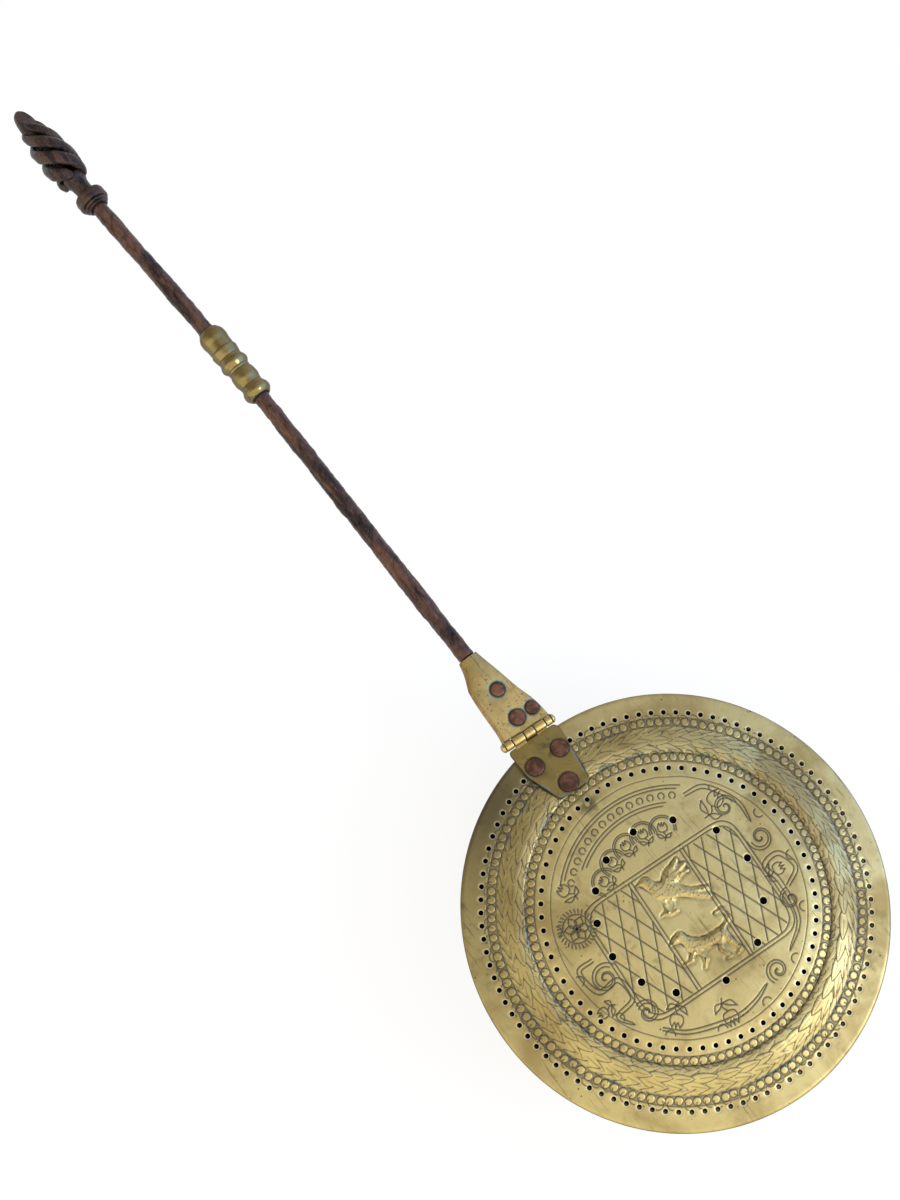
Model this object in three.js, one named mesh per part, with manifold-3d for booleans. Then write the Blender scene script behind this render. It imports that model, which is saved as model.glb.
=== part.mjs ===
// A bed warming pan: a brass pan for embers under a pierced brass lid, on a long iron handle
// with a brass ferrule and a twisted finial. Millimetres, +Z up. The origin is the centre of
// the pan's flat base, and the handle runs along +X.

import * as THREE from 'three';
import { mergeVertices } from 'three/addons/utils/BufferGeometryUtils.js';
import Module from 'manifold-3d';

const wasm = await Module();
wasm.setup();

// ---------------------------------------------------------------- driving dimensions

const CLEARANCE = 0.3;          // left between touching pieces
const RUNNING_GAP = 0.4;        // between neighbouring knuckles of the hinge
const RING_SEGMENTS = 60;       // facets round the pan and the lid

// Lid, in its own frame: centre of its edge plane at the origin
const LID_RADIUS = 150;
const LID_SHEET = 1.2;
const LID_CROWN_HEIGHT = 14.2;
const FLANGE_HEIGHT = 2.2;            // the flange just inside the turned edge
const EDGE_DROP = 0.9;                // the turned edge reaches this far below the edge plane
const OUTER_HOLES_INSET = 14;         // rings are measured in from the lid's edge
const LEAF_BAND_OUTER_INSET = 27;
const LEAF_BAND_CROWN_INSET = 40;
const LEAF_BAND_INNER_INSET = 44.5;
const LEAF_BAND_HEIGHT = 9.4;
const INNER_HOLES_INSET = 54.8;
const FIELD_INSET = 61;               // where the domed middle begins
const FIELD_EDGE_HEIGHT = 10.6;
const SMALL_HOLE_RADIUS = 1.75;
const LARGE_HOLE_RADIUS = 2.6;
const LARGE_HOLES_RING = 58.4;        // radius of the ring of large holes
const OUTER_HOLE_COUNT = 96;
const INNER_HOLE_COUNT = 66;
const LARGE_HOLE_ANGLES = [
  -153, -124.5, -94, -66, -35.3, -6.3, 20.8, 42.9, 64.5, 88.6, 113.9, 138, 173.3,
];

// Pan
const PAN_DEPTH = 90;                 // from the base to the top of the flange
const PAN_SHEET = 1.2;
const WALL_ANGLE = 9;                 // degrees off upright
const BASE_FILLET = 14;
const MOUTH_INSET = 14;               // from the lid's edge in to the pan's mouth
const RIM_SHIFT = -2;                 // the rim and the lid sit this far along X from the bowl
const RIM_INSET = 1;                  // the rolled rim stops this far inside the lid's edge
const RIM_ROLL_RADIUS = 2.7;
const RIM_WIRE_RADIUS = 1.2;

// Hinge
const HINGE_STANDOFF = 7;             // from the lid's edge to the pin
const HANDLE_OFFSET = 7.2;            // the handle's line lies this far to the +Y side
const HINGE_OFFSET = 7.6;
const HINGE_SKEW = 4.8;               // degrees that the pin is out of square with the handle
const PLATE_THICKNESS = 1.4;
const KNUCKLE_RADIUS = 3.5;
const PIN_RADIUS = 1.55;
const PIN_CLEARANCE = 0.35;
const PIN_HEAD_RADIUS = 3.6;
const PIN_HEAD_LENGTH = 3;
const KNUCKLE_EDGES = [19.6, 13, 3.3, -5.2, -14.1, -19.4];
const LEAF_LENGTH = 51.3;             // from the pin to the leaf's far edge
const LEAF_LEFT = 19.4;               // from the leaf's middle line to its two sides
const LEAF_RIGHT = 21.9;
const LEAF_SLOPE = 0.17;              // rise per millimetre towards the lid's middle
// Each rivet is [distance from the pin, distance along the pin, radius of its head]
const LEAF_RIVETS = [[-22.5, 9.35, 7], [-20.5, -12.9, 6.7], [-44.2, -4.1, 7.3]];

// Socket plate, tang and bracket
const SOCKET_LENGTH = 69.5;           // from the pin to the plate's narrow end
const PLATE_LIP = 3.8;                // depth of the plate's turned-down sides
const PLATE_LIP_THICKNESS = 1.2;
const TANG_THICKNESS = 2.6;
const BRACKET_THICKNESS = 2.5;
const BRACKET_WIDTH = 14;
const BRACKET_REACH = 44;             // from the pin to the bracket's end under the tang
const BRACKET_DROP = 60;              // from the lid's edge plane to the bracket's foot
const BRACKET_LEG = 3.2;              // thickness of the leg against the wall
const WALL_RIVET_DROPS = [25, 47];    // from the lid's edge plane to the rivets in the wall
// The same, and whether the rivet also goes through the bracket
const SOCKET_RIVETS = [[38.2, 0.6, 5.4, true], [14, -0.2, 6, true], [14.2, -13.1, 5.1, false]];
const RIVET_SHANK_RADIUS = 2.5;
const RIVET_HEAD_HEIGHT = 1.3;
const RIVET_TAIL_RADIUS = 4.4;
const WALL_RIVET_HEAD_RADIUS = 5;

// Handle
const ROD_RADIUS = 6.5;
const ROD_DROP = 1.8;                 // rod's axis below the lid's edge plane
const LOWER_ROD_LENGTH = 251;         // from the plate's narrow end to the ferrule's mouth
const UPPER_ROD_LENGTH = 133.5;       // from the ferrule's mouth to the collar
const FERRULE_LENGTH = 65.5;
const FERRULE_INSERT = 27;            // depth of each rod in the ferrule
const FERRULE_CLEARANCE = 0.6;
const FERRULE_BEND = 1.35;            // degrees of bend at each mouth of the ferrule
const COLLAR_LENGTH = 14;
const NECK_RADIUS = 7.4;
const NECK_LENGTH = 14;
const STRAND_COUNT = 4;
const STRAND_TURN = -0.85;            // turns about the handle from base to tip
const STRAND_WIDTH = 9.8;             // across a strand where the basket is widest
const STRAND_THICKNESS = 4;
const STRAND_SEAT = 4;                // length of neck between the feet of the strands
const BASKET_RADIUS = 11.6;           // middle of a strand where the basket is widest
const BASKET_LENGTH = 62;
const TIP_LENGTH = 15;
const TIP_RADIUS = 4.4;               // where the strands close on it
const TIP_SWELL = 1.8;                // how much wider the tip grows beyond the strands

// ---------------------------------------------------------------- values that follow

const rad = THREE.MathUtils.degToRad;
const MOUTH_RADIUS = LID_RADIUS - MOUTH_INSET;
const LID_EDGE_Z = PAN_DEPTH + EDGE_DROP - 0.3;
const HINGE_X = LID_RADIUS + HINGE_STANDOFF;
const LEAF_BAND_CROWN_R = LID_RADIUS - LEAF_BAND_CROWN_INSET;
const leafBottomAt = (x) => LEAF_BAND_HEIGHT + CLEARANCE + 0.2 + LEAF_SLOPE * (LEAF_BAND_CROWN_R - x);
const PLATE_START = KNUCKLE_RADIUS + 1.1;    // the plates begin this far from the pin
const SOCKET_BOTTOM = leafBottomAt(HINGE_X - PLATE_START);
const PIN_Z = SOCKET_BOTTOM + KNUCKLE_RADIUS;
const TANG_TOP = SOCKET_BOTTOM - CLEARANCE;
const BRACKET_TOP = TANG_TOP - TANG_THICKNESS - CLEARANCE;
const BRACKET_BOTTOM = BRACKET_TOP - BRACKET_THICKNESS;
const SOCKET_END_X = HINGE_X + SOCKET_LENGTH;
const FERRULE_X = SOCKET_END_X + LOWER_ROD_LENGTH;

// ---------------------------------------------------------------- materials

const metal = (color, roughness, metalness) => (
  new THREE.MeshStandardMaterial({ color, roughness, metalness }));
const BRASS = metal(0xa08a48, 0.38, 0.9);
const POLISHED_BRASS = metal(0xb58f3c, 0.25, 1);
const COPPER = metal(0x7a4a38, 0.5, 0.8);
const IRON = metal(0x3e302b, 0.6, 0.7);

// ---------------------------------------------------------------- geometry helpers

/** Turns a closed three.js geometry into a solid that can be joined and cut. */
function solidOf(geometry) {
  const bare = geometry.clone();
  bare.deleteAttribute('normal');
  bare.deleteAttribute('uv');
  const merged = mergeVertices(bare, 1e-4);
  return new wasm.Manifold(new wasm.Mesh({
    numProp: 3,
    vertProperties: new Float32Array(merged.attributes.position.array),
    triVerts: new Uint32Array(merged.index.array),
  }));
}

/** Gives a solid back as a three.js geometry. */
function geometryOf(solid) {
  const mesh = solid.getMesh();
  const geometry = new THREE.BufferGeometry();
  geometry.setAttribute('position', new THREE.BufferAttribute(mesh.vertProperties, 3));
  geometry.setIndex(new THREE.BufferAttribute(mesh.triVerts, 1));
  geometry.computeVertexNormals();
  return geometry;
}

/** Joins overlapping geometries into one closed body. */
const join = (geometries) => geometryOf(wasm.Manifold.union(geometries.map(solidOf)));

/** Cuts every one of the cutters from a geometry and returns what is left. */
const cut = (geometry, cutters) => (
  geometryOf(solidOf(geometry).subtract(wasm.Manifold.union(cutters.map(solidOf)))));

/** Revolves [radius, height] points about Z. The profile runs anticlockwise, from the bottom outwards. */
function revolve(profile, segments = RING_SEGMENTS) {
  const points = profile.map(([r, z]) => new THREE.Vector2(r, z));
  return new THREE.LatheGeometry(points, segments).rotateX(Math.PI / 2);
}

/** Revolves [distance, radius] points about X, from the near end to the far end. */
function turned(profile, segments = 18) {
  const points = profile.map(([x, r]) => new THREE.Vector2(r, x));
  return new THREE.LatheGeometry(points, segments).rotateZ(-Math.PI / 2);
}

/** A flat outline of [x, y] points raised from z = low to z = high. */
function prism(outline, low, high) {
  const shape = new THREE.Shape(outline.map(([x, y]) => new THREE.Vector2(x, y)));
  return new THREE.ExtrudeGeometry(shape, { depth: high - low, bevelEnabled: false }).translate(0, 0, low);
}

/** A side-view outline of [x, z] points, drawn out from y = low to y = high. */
function sideProfile(outline, low, high) {
  return prism(outline, -high, -low).rotateX(Math.PI / 2);
}

/** A round post along Z. */
function post(radius, low, high, sides = 12) {
  return new THREE.CylinderGeometry(radius, radius, high - low, sides)
    .rotateX(Math.PI / 2)
    .translate(0, 0, (low + high) / 2);
}

/** A round bar along Y. */
function bar(radius, low, high, sides = 20) {
  return new THREE.CylinderGeometry(radius, radius, high - low, sides).translate(0, (low + high) / 2, 0);
}

/** Points on a circular arc in a profile, in degrees, both ends included. */
function arc(cx, cy, radius, from, to, steps) {
  return Array.from({ length: steps + 1 }, (_, i) => {
    const angle = rad(from + ((to - from) * i) / steps);
    return [cx + radius * Math.cos(angle), cy + radius * Math.sin(angle)];
  });
}

/** Skins a row of rings, each with the same number of points, into one closed body. */
function loft(rings) {
  const sides = rings[0].length;
  const positions = rings.flat().flatMap((p) => [p.x, p.y, p.z]);
  const index = [];
  for (let i = 0; i + 1 < rings.length; i++) {
    for (let j = 0; j < sides; j++) {
      const a = i * sides + j;
      const b = i * sides + ((j + 1) % sides);
      index.push(a, b, b + sides, a, b + sides, a + sides);
    }
  }
  const last = (rings.length - 1) * sides;
  for (let j = 1; j + 1 < sides; j++) {
    index.push(0, j + 1, j, last, last + j, last + j + 1);
  }
  const geometry = new THREE.BufferGeometry();
  geometry.setAttribute('position', new THREE.Float32BufferAttribute(positions, 3));
  geometry.setIndex(index);
  geometry.computeVertexNormals();
  return geometry;
}

/** Moves a geometry from the hinge's own frame, with its pin along Y, to the lid's frame. */
function fromHinge(geometry) {
  return geometry.rotateZ(-rad(HINGE_SKEW)).translate(HINGE_X, HINGE_OFFSET, 0);
}

/** A point given in the hinge's own frame, in the lid's frame. */
function hingePoint(u, v) {
  const p = new THREE.Vector2(u, v).rotateAround(new THREE.Vector2(), -rad(HINGE_SKEW));
  return [HINGE_X + p.x, HINGE_OFFSET + p.y];
}

// ---------------------------------------------------------------- pan

const wallSlope = Math.tan(rad(WALL_ANGLE));
const WALL_TOP_R = MOUTH_RADIUS + PAN_SHEET / Math.cos(rad(WALL_ANGLE));
const FLANGE_BOTTOM = PAN_DEPTH - PAN_SHEET;
const ROLL_CENTRE = [LID_RADIUS - RIM_INSET - RIM_ROLL_RADIUS, PAN_DEPTH - RIM_ROLL_RADIUS];

/** Outside radius of the pan's straight wall at a height above the base. */
const wallRadiusAt = (z) => WALL_TOP_R - (FLANGE_BOTTOM - z) * wallSlope;

/** The bowl's side from the axis to the flange, moved out by an offset. */
function bowlSide(offset, top) {
  const filletX = wallRadiusAt(BASE_FILLET) - BASE_FILLET / Math.cos(rad(WALL_ANGLE));
  const corner = arc(filletX, BASE_FILLET, BASE_FILLET + offset, -90, -WALL_ANGLE, 3);
  const lean = offset / Math.cos(rad(WALL_ANGLE));
  return [[0, -offset], ...corner, [wallRadiusAt(top) + lean, top]];
}

/** The bowl and its flat flange, which is rolled under round the rim wire. */
function panBowl() {
  const bowl = revolve([...bowlSide(0, PAN_DEPTH), [0, PAN_DEPTH]]);
  const hollow = revolve([...bowlSide(-PAN_SHEET, PAN_DEPTH + 1), [0, PAN_DEPTH + 1]]);
  const inner = MOUTH_RADIUS - 2 * Math.abs(RIM_SHIFT);
  const flange = revolve([
    [inner, FLANGE_BOTTOM],
    ...arc(...ROLL_CENTRE, RIM_ROLL_RADIUS - PAN_SHEET, 90, -150, 6),
    ...arc(...ROLL_CENTRE, RIM_ROLL_RADIUS, -150, 90, 6),
    [inner, PAN_DEPTH],
    [inner, FLANGE_BOTTOM],
  ]).translate(RIM_SHIFT, 0, 0);
  return cut(join([bowl, flange]), [hollow, ...wallRivetHoles()]);
}

/** The wire that the pan's rim is rolled round. */
function rimWire() {
  return revolve(arc(...ROLL_CENTRE, RIM_WIRE_RADIUS, 0, 360, 6)).translate(RIM_SHIFT, 0, 0);
}

// ---------------------------------------------------------------- lid

/** Height of the lid's upper face over its edge plane, from the flange inwards. */
const LID_TOP = [
  [LID_RADIUS - 4, FLANGE_HEIGHT],
  [LID_RADIUS - OUTER_HOLES_INSET, FLANGE_HEIGHT + 0.8],
  [LID_RADIUS - LEAF_BAND_OUTER_INSET, FLANGE_HEIGHT + 2.9],
  [LID_RADIUS - LEAF_BAND_OUTER_INSET - 6, LEAF_BAND_HEIGHT - 1.7],
  [LID_RADIUS - LEAF_BAND_CROWN_INSET + 3, LEAF_BAND_HEIGHT - 0.2],
  [LID_RADIUS - LEAF_BAND_CROWN_INSET - 2, LEAF_BAND_HEIGHT],
  [LID_RADIUS - LEAF_BAND_INNER_INSET, LEAF_BAND_HEIGHT - 0.8],
  [LID_RADIUS - INNER_HOLES_INSET, FIELD_EDGE_HEIGHT - 0.7],
  [LID_RADIUS - FIELD_INSET, FIELD_EDGE_HEIGHT],
  ...[0.7, 0.35, 0].map((share) => [
    (LID_RADIUS - FIELD_INSET) * share,
    LID_CROWN_HEIGHT - (LID_CROWN_HEIGHT - FIELD_EDGE_HEIGHT) * share ** 2,
  ]),
];

/** The turned-down edge, from the inside of its lip round to the flange's upper face. */
const LID_EDGE = [
  [LID_RADIUS - 3.6, FLANGE_HEIGHT - LID_SHEET],
  [LID_RADIUS - 1.8, FLANGE_HEIGHT - LID_SHEET - 0.6],
  [LID_RADIUS - 1.8, -EDGE_DROP],
  [LID_RADIUS - 0.6, -EDGE_DROP],
  [LID_RADIUS, 0.3],
  [LID_RADIUS - 0.4, FLANGE_HEIGHT - 0.9],
  [LID_RADIUS - 1.7, FLANGE_HEIGHT - 0.2],
];

/** True where the hinge leaf covers a point of the lid. */
function underLeaf(x, y) {
  const fromPin = new THREE.Vector2(x - HINGE_X, y - HINGE_OFFSET);
  const { x: u, y: v } = fromPin.rotateAround(new THREE.Vector2(), rad(HINGE_SKEW));
  return u > -LEAF_LENGTH && v > -LEAF_RIGHT && v < LEAF_LEFT;
}

/** Posts on a ring, one for each angle, clear of the hinge leaf. */
function ringOfPosts(ringRadius, holeRadius, angles, sides) {
  return angles
    .map((angle) => [ringRadius * Math.cos(rad(angle)), ringRadius * Math.sin(rad(angle))])
    .filter(([x, y]) => !underLeaf(x, y))
    .map(([x, y]) => post(holeRadius, -LID_CROWN_HEIGHT, 2 * LID_CROWN_HEIGHT, sides).translate(x, y, 0));
}

const evenAngles = (count) => Array.from({ length: count }, (_, i) => ((i + 0.5) * 360) / count);

/** The lid: one sheet, pierced by its rings of holes and drilled for the leaf's rivets. */
function lidSheet() {
  const underside = LID_TOP.map(([r, z]) => [r, z - LID_SHEET]).reverse();
  const sheet = revolve([...underside, ...LID_EDGE, ...LID_TOP]);
  const smallHoles = (inset, count) => (
    ringOfPosts(LID_RADIUS - inset, SMALL_HOLE_RADIUS, evenAngles(count), 4));
  const holes = [
    ...smallHoles(OUTER_HOLES_INSET, OUTER_HOLE_COUNT),
    ...smallHoles(INNER_HOLES_INSET, INNER_HOLE_COUNT),
    ...ringOfPosts(LARGE_HOLES_RING, LARGE_HOLE_RADIUS, LARGE_HOLE_ANGLES, 6),
    ...leafRivetHoles(),
  ];
  return cut(sheet, holes);
}

// ---------------------------------------------------------------- hinge

/** The leaf's outline in the hinge's own frame, from its +Y corner by the pin round to the other. */
const LEAF_OUTLINE = [
  [-PLATE_START, LEAF_LEFT - 1.5],
  [-PLATE_START - 1.8, LEAF_LEFT],
  [-25.3, LEAF_LEFT - 1.6],
  [-LEAF_LENGTH + 2, LEAF_LEFT - 11],
  [-LEAF_LENGTH, LEAF_LEFT - 13.5],
  [-LEAF_LENGTH, 9.5 - LEAF_RIGHT],
  [-LEAF_LENGTH + 2.7, 4.1 - LEAF_RIGHT],
  [-PLATE_START - 3.5, -LEAF_RIGHT],
  [-PLATE_START, 2.5 - LEAF_RIGHT],
];

/** A knuckle and the tab that joins it to its plate. Side is -1 for the leaf, +1 for the socket. */
function knuckle(high, low, side) {
  const from = low + RUNNING_GAP / 2;
  const to = high - RUNNING_GAP / 2;
  const barrel = bar(KNUCKLE_RADIUS, from, to).translate(0, 0, PIN_Z);
  const reach = side * (PLATE_START + 1);
  const top = SOCKET_BOTTOM + PLATE_THICKNESS;
  const tab = sideProfile([[0, SOCKET_BOTTOM], [reach, SOCKET_BOTTOM], [reach, top], [0, top]], from, to);
  return join([barrel, tab]);
}

const knucklePairs = KNUCKLE_EDGES.slice(1).map((low, i) => [KNUCKLE_EDGES[i], low]);
const SOCKET_KNUCKLES = knucklePairs.filter((_, i) => i % 2 === 0);
const LEAF_KNUCKLES = knucklePairs.filter((_, i) => i % 2 === 1);
const pinBore = () => bar(PIN_RADIUS + PIN_CLEARANCE, KNUCKLE_EDGES.at(-1) - 5, KNUCKLE_EDGES[0] + 5, 16)
  .translate(0, 0, PIN_Z);

/** The sloping slab that the flat leaf is cut from. */
function leafSlab() {
  const far = HINGE_X - LEAF_LENGTH - 10;
  const near = HINGE_X + 5;
  return sideProfile([
    [far, leafBottomAt(far)],
    [near, leafBottomAt(near)],
    [near, leafBottomAt(near) + PLATE_THICKNESS],
    [far, leafBottomAt(far) + PLATE_THICKNESS],
  ], -60, 60);
}

/** The leaf that is riveted to the lid: a flat sloping plate with two knuckles. */
function hingeLeaf() {
  const plate = solidOf(fromHinge(prism(LEAF_OUTLINE, -10, 40))).intersect(solidOf(leafSlab()));
  const knuckles = LEAF_KNUCKLES.map(([high, low]) => solidOf(fromHinge(knuckle(high, low, -1))));
  const whole = knuckles.reduce((sum, next) => sum.add(next), plate);
  return cut(geometryOf(whole), [fromHinge(pinBore()), ...leafRivetHoles()]);
}

/** The pin with its two domed heads. */
function hingePin() {
  const top = KNUCKLE_EDGES[0] + 0.1;
  const bottom = KNUCKLE_EDGES.at(-1) - 0.1;
  const dome = (end, sign) => [0, 0.5, 0.85, 1].map((share) => [
    PIN_HEAD_RADIUS * share,
    end + sign * PIN_HEAD_LENGTH * Math.sqrt(1 - share ** 2),
  ]);
  const profile = [
    ...dome(bottom, -1),
    [PIN_RADIUS, bottom],
    [PIN_RADIUS, top],
    ...dome(top, 1).reverse(),
  ];
  const points = profile.map(([r, y]) => new THREE.Vector2(r, y));
  return fromHinge(new THREE.LatheGeometry(points, 16).translate(0, 0, PIN_Z));
}

// ---------------------------------------------------------------- rivets

/** A rivet along Z: a low domed head, a shank and a tail, seated on both faces. */
function rivet(headRadius, headSeat, tailSeat) {
  return revolve([
    [0, tailSeat - RIVET_HEAD_HEIGHT],
    [RIVET_TAIL_RADIUS - 1, tailSeat - RIVET_HEAD_HEIGHT],
    [RIVET_TAIL_RADIUS, tailSeat],
    [RIVET_SHANK_RADIUS, tailSeat],
    [RIVET_SHANK_RADIUS, headSeat],
    [headRadius, headSeat],
    [headRadius - 0.4, headSeat + RIVET_HEAD_HEIGHT * 0.6],
    [headRadius * 0.6, headSeat + RIVET_HEAD_HEIGHT],
    [0, headSeat + RIVET_HEAD_HEIGHT * 1.05],
  ], 14);
}

/** Leans a piece along Z so that it stands square on the sloping leaf at a point. */
function onLeaf(geometry, u, v) {
  const [x, y] = hingePoint(u, v);
  return geometry.rotateY(Math.atan(LEAF_SLOPE)).translate(x, y, leafBottomAt(x));
}

const leafRivetHoles = () => LEAF_RIVETS.map(([u, v]) => (
  onLeaf(post(RIVET_SHANK_RADIUS + CLEARANCE, -12, 12, 14), u, v)));

/** Height of the lid's upper face over its edge plane at a radius. */
function lidTopAt(radius) {
  const outer = LID_TOP.findIndex(([r]) => r <= radius);
  if (outer <= 0) return LID_TOP[Math.max(outer, 0)][1];
  const [r0, z0] = LID_TOP[outer - 1];
  const [r1, z1] = LID_TOP[outer];
  return z0 + ((z1 - z0) * (radius - r0)) / (r1 - r0);
}

/** A rivet through the leaf and the lid. Its tail clears the lid's underside all the way across. */
function leafRivet(u, v, headRadius) {
  const [x, y] = hingePoint(u, v);
  const steps = Array.from({ length: 21 }, (_, i) => (RIVET_TAIL_RADIUS + 0.5) * (i / 10 - 1));
  const depths = steps.map((step) => lidTopAt(Math.hypot(x, y) + step) - leafBottomAt(x + step));
  const tailSeat = Math.min(...depths) - LID_SHEET - CLEARANCE;
  return onLeaf(rivet(headRadius, PLATE_THICKNESS + CLEARANCE / 2, tailSeat), u, v);
}

/** Stands a piece along Z square to the bracket's leg, at a drop below the lid's edge plane. */
function onWall(geometry, drop) {
  const z = LID_EDGE_Z - drop;
  return geometry.rotateY(rad(90 + WALL_ANGLE)).translate(wallRadiusAt(z), HANDLE_OFFSET, z);
}

const wallRivetHoles = () => WALL_RIVET_DROPS.map((drop) => (
  onWall(post(RIVET_SHANK_RADIUS + CLEARANCE, -10, 10, 14), drop)));

/** A rivet through the bracket's leg and the pan's curved wall. */
function wallRivet(drop) {
  const headSeat = (CLEARANCE + BRACKET_LEG) * Math.cos(rad(WALL_ANGLE)) + CLEARANCE / 2;
  const curve = (HANDLE_OFFSET + RIVET_TAIL_RADIUS) ** 2 / (2 * wallRadiusAt(LID_EDGE_Z - drop));
  return onWall(rivet(WALL_RIVET_HEAD_RADIUS, headSeat, -PAN_SHEET - curve - CLEARANCE), drop);
}

/** A rivet through the socket plate and the tang, and through the bracket where it reaches. */
function socketRivet(u, v, headRadius, throughBracket) {
  const [x, y] = hingePoint(u, v);
  const tailSeat = (throughBracket ? BRACKET_BOTTOM : TANG_TOP - TANG_THICKNESS) - CLEARANCE / 2;
  const headSeat = SOCKET_BOTTOM + PLATE_THICKNESS + CLEARANCE / 2;
  return rivet(headRadius, headSeat, tailSeat).translate(x, y, 0);
}

// ---------------------------------------------------------------- socket plate and tang

/** The socket plate's two long sides, from the hinge to the narrow end: [x, +Y side, -Y side]. */
const SOCKET_SIDES = [
  [HINGE_X + 14, 17.6, -19.4],
  [HINGE_X + 33, 16.6, -14.6],
  [HINGE_X + 49, 14.9, -11.5],
  [HINGE_X + 55, 12.4, -10.2],
  [SOCKET_END_X, 7.7, -7.2],
].map(([x, left, right]) => [x, HANDLE_OFFSET + left, HANDLE_OFFSET + right]);

/** A point beyond the end of the line between two points. */
function beyond(from, to, distance) {
  const step = new THREE.Vector2(to[0] - from[0], to[1] - from[1]).setLength(distance);
  return [to[0] + step.x, to[1] + step.y];
}

/** The plate's outline, drawn in from its sides by an inset and past its ends by an overrun. */
function socketOutline(inset, overrun) {
  const left = [hingePoint(PLATE_START, 18.9), ...SOCKET_SIDES.map(([x, y]) => [x, y])];
  const right = [hingePoint(PLATE_START, -20.6), ...SOCKET_SIDES.map(([x, , y]) => [x, y])];
  const [insetLeft, insetRight] = [[left, -inset], [right, inset]].map(([side, shift]) => {
    const moved = side.map(([x, y]) => [x, y + shift]);
    return [
      beyond(moved[1], moved[0], overrun),
      ...moved.slice(1, -1),
      beyond(moved.at(-2), moved.at(-1), overrun),
    ];
  });
  return [...insetLeft, ...insetRight.reverse()];
}

const socketRivetHoles = () => SOCKET_RIVETS.map(([u, v]) => {
  const [x, y] = hingePoint(u, v);
  return post(RIVET_SHANK_RADIUS + CLEARANCE, -20, 20, 14).translate(x, y, 0);
});

/** The plate over the tang, with its sides turned down and three knuckles. */
function socketPlate() {
  const lipBottom = SOCKET_BOTTOM - PLATE_LIP;
  const cap = prism(socketOutline(0, 0), lipBottom, SOCKET_BOTTOM + PLATE_THICKNESS);
  const inside = prism(socketOutline(PLATE_LIP_THICKNESS, 1), lipBottom - 1, SOCKET_BOTTOM);
  const shell = solidOf(cap).subtract(solidOf(inside));
  const knuckles = SOCKET_KNUCKLES.map(([high, low]) => solidOf(fromHinge(knuckle(high, low, 1))));
  const whole = knuckles.reduce((sum, next) => sum.add(next), shell);
  return cut(geometryOf(whole), [fromHinge(pinBore()), ...socketRivetHoles()]);
}

/** The lower rod with its spade-shaped tang, forged in one. */
function lowerRod() {
  const tangBottom = TANG_TOP - TANG_THICKNESS;
  const tang = prism(socketOutline(PLATE_LIP_THICKNESS + CLEARANCE, -2), tangBottom, TANG_TOP);
  const shoulder = SOCKET_END_X + CLEARANCE;
  const rod = turned([
    [shoulder, 0], [shoulder, ROD_RADIUS - 0.8], [shoulder + 1, ROD_RADIUS],
    [FERRULE_X + FERRULE_INSERT, ROD_RADIUS], [FERRULE_X + FERRULE_INSERT, 0],
  ], 16).translate(0, HANDLE_OFFSET, -ROD_DROP);
  const root = prism([
    [SOCKET_END_X - 14, HANDLE_OFFSET - 5], [shoulder + 2, HANDLE_OFFSET - 5],
    [shoulder + 2, HANDLE_OFFSET + 5], [SOCKET_END_X - 14, HANDLE_OFFSET + 5],
  ], tangBottom, TANG_TOP);
  return cut(join([tang, root, rod]), socketRivetHoles());
}

/** The iron bracket, from under the tang round the rim and down the pan's wall. */
function bracket() {
  const top = HINGE_X + BRACKET_REACH;
  const knee = LID_RADIUS + 1.2;
  const legTop = -EDGE_DROP - 2 * RIM_ROLL_RADIUS - 3;
  const legZ = -BRACKET_DROP;
  const wallAt = (z) => wallRadiusAt(z + LID_EDGE_Z) - RIM_SHIFT + CLEARANCE;
  const side = sideProfile([
    [top, BRACKET_TOP],
    [knee + 1.5, BRACKET_TOP],
    [knee, BRACKET_TOP - 1.5],
    [knee, legTop + 1],
    [wallAt(legTop) - 6, legTop],
    [wallAt(legZ) - 6, legZ],
    [wallAt(legZ) + BRACKET_LEG, legZ],
    [wallAt(legTop - 4) + BRACKET_LEG, legTop - 4],
    [knee + 4, legTop - 2.5],
    [knee + 4, BRACKET_BOTTOM],
    [top, BRACKET_BOTTOM],
  ], HANDLE_OFFSET - BRACKET_WIDTH / 2, HANDLE_OFFSET + BRACKET_WIDTH / 2);
  const fromPan = (geometry) => geometry.translate(-RIM_SHIFT, 0, -LID_EDGE_Z);
  const bowl = fromPan(revolve([...bowlSide(CLEARANCE, PAN_DEPTH), [0, PAN_DEPTH]]));
  const wallHoles = wallRivetHoles().map(fromPan);
  return cut(side, [bowl, ...wallHoles, ...socketRivetHoles()]);
}

// ---------------------------------------------------------------- handle

/** The ferrule's turned outline: [share of its length, radius]. */
const FERRULE_OUTLINE = [
  [0, 8.3], [0.015, 9], [0.03, 10], [0.065, 11], [0.1, 10.9], [0.135, 9.9], [0.17, 9.1], [0.21, 9.3],
  [0.27, 10.2], [0.33, 10], [0.39, 9], [0.43, 9.1], [0.46, 10.3], [0.5, 11.2], [0.54, 10.6],
  [0.585, 9.7], [0.64, 10.4], [0.69, 10.9], [0.74, 10.3], [0.8, 10.2], [0.87, 10.8], [0.92, 10.6],
  [0.96, 9.7], [1, 8.1],
];

/** The turned brass ferrule that covers the joint between the two rods. */
function ferrule() {
  const bore = ROD_RADIUS + FERRULE_CLEARANCE;
  return turned([
    [0, bore],
    ...FERRULE_OUTLINE.map(([share, radius]) => [share * FERRULE_LENGTH, radius]),
    [FERRULE_LENGTH, bore],
    [0, bore],
  ]);
}

/** The upper rod, from inside the ferrule to the far side of the collar. */
function upperRod() {
  const end = FERRULE_INSERT + UPPER_ROD_LENGTH + COLLAR_LENGTH - CLEARANCE;
  return turned([[0, 0], [0, ROD_RADIUS], [end, ROD_RADIUS], [end, 0]], 16);
}

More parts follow.
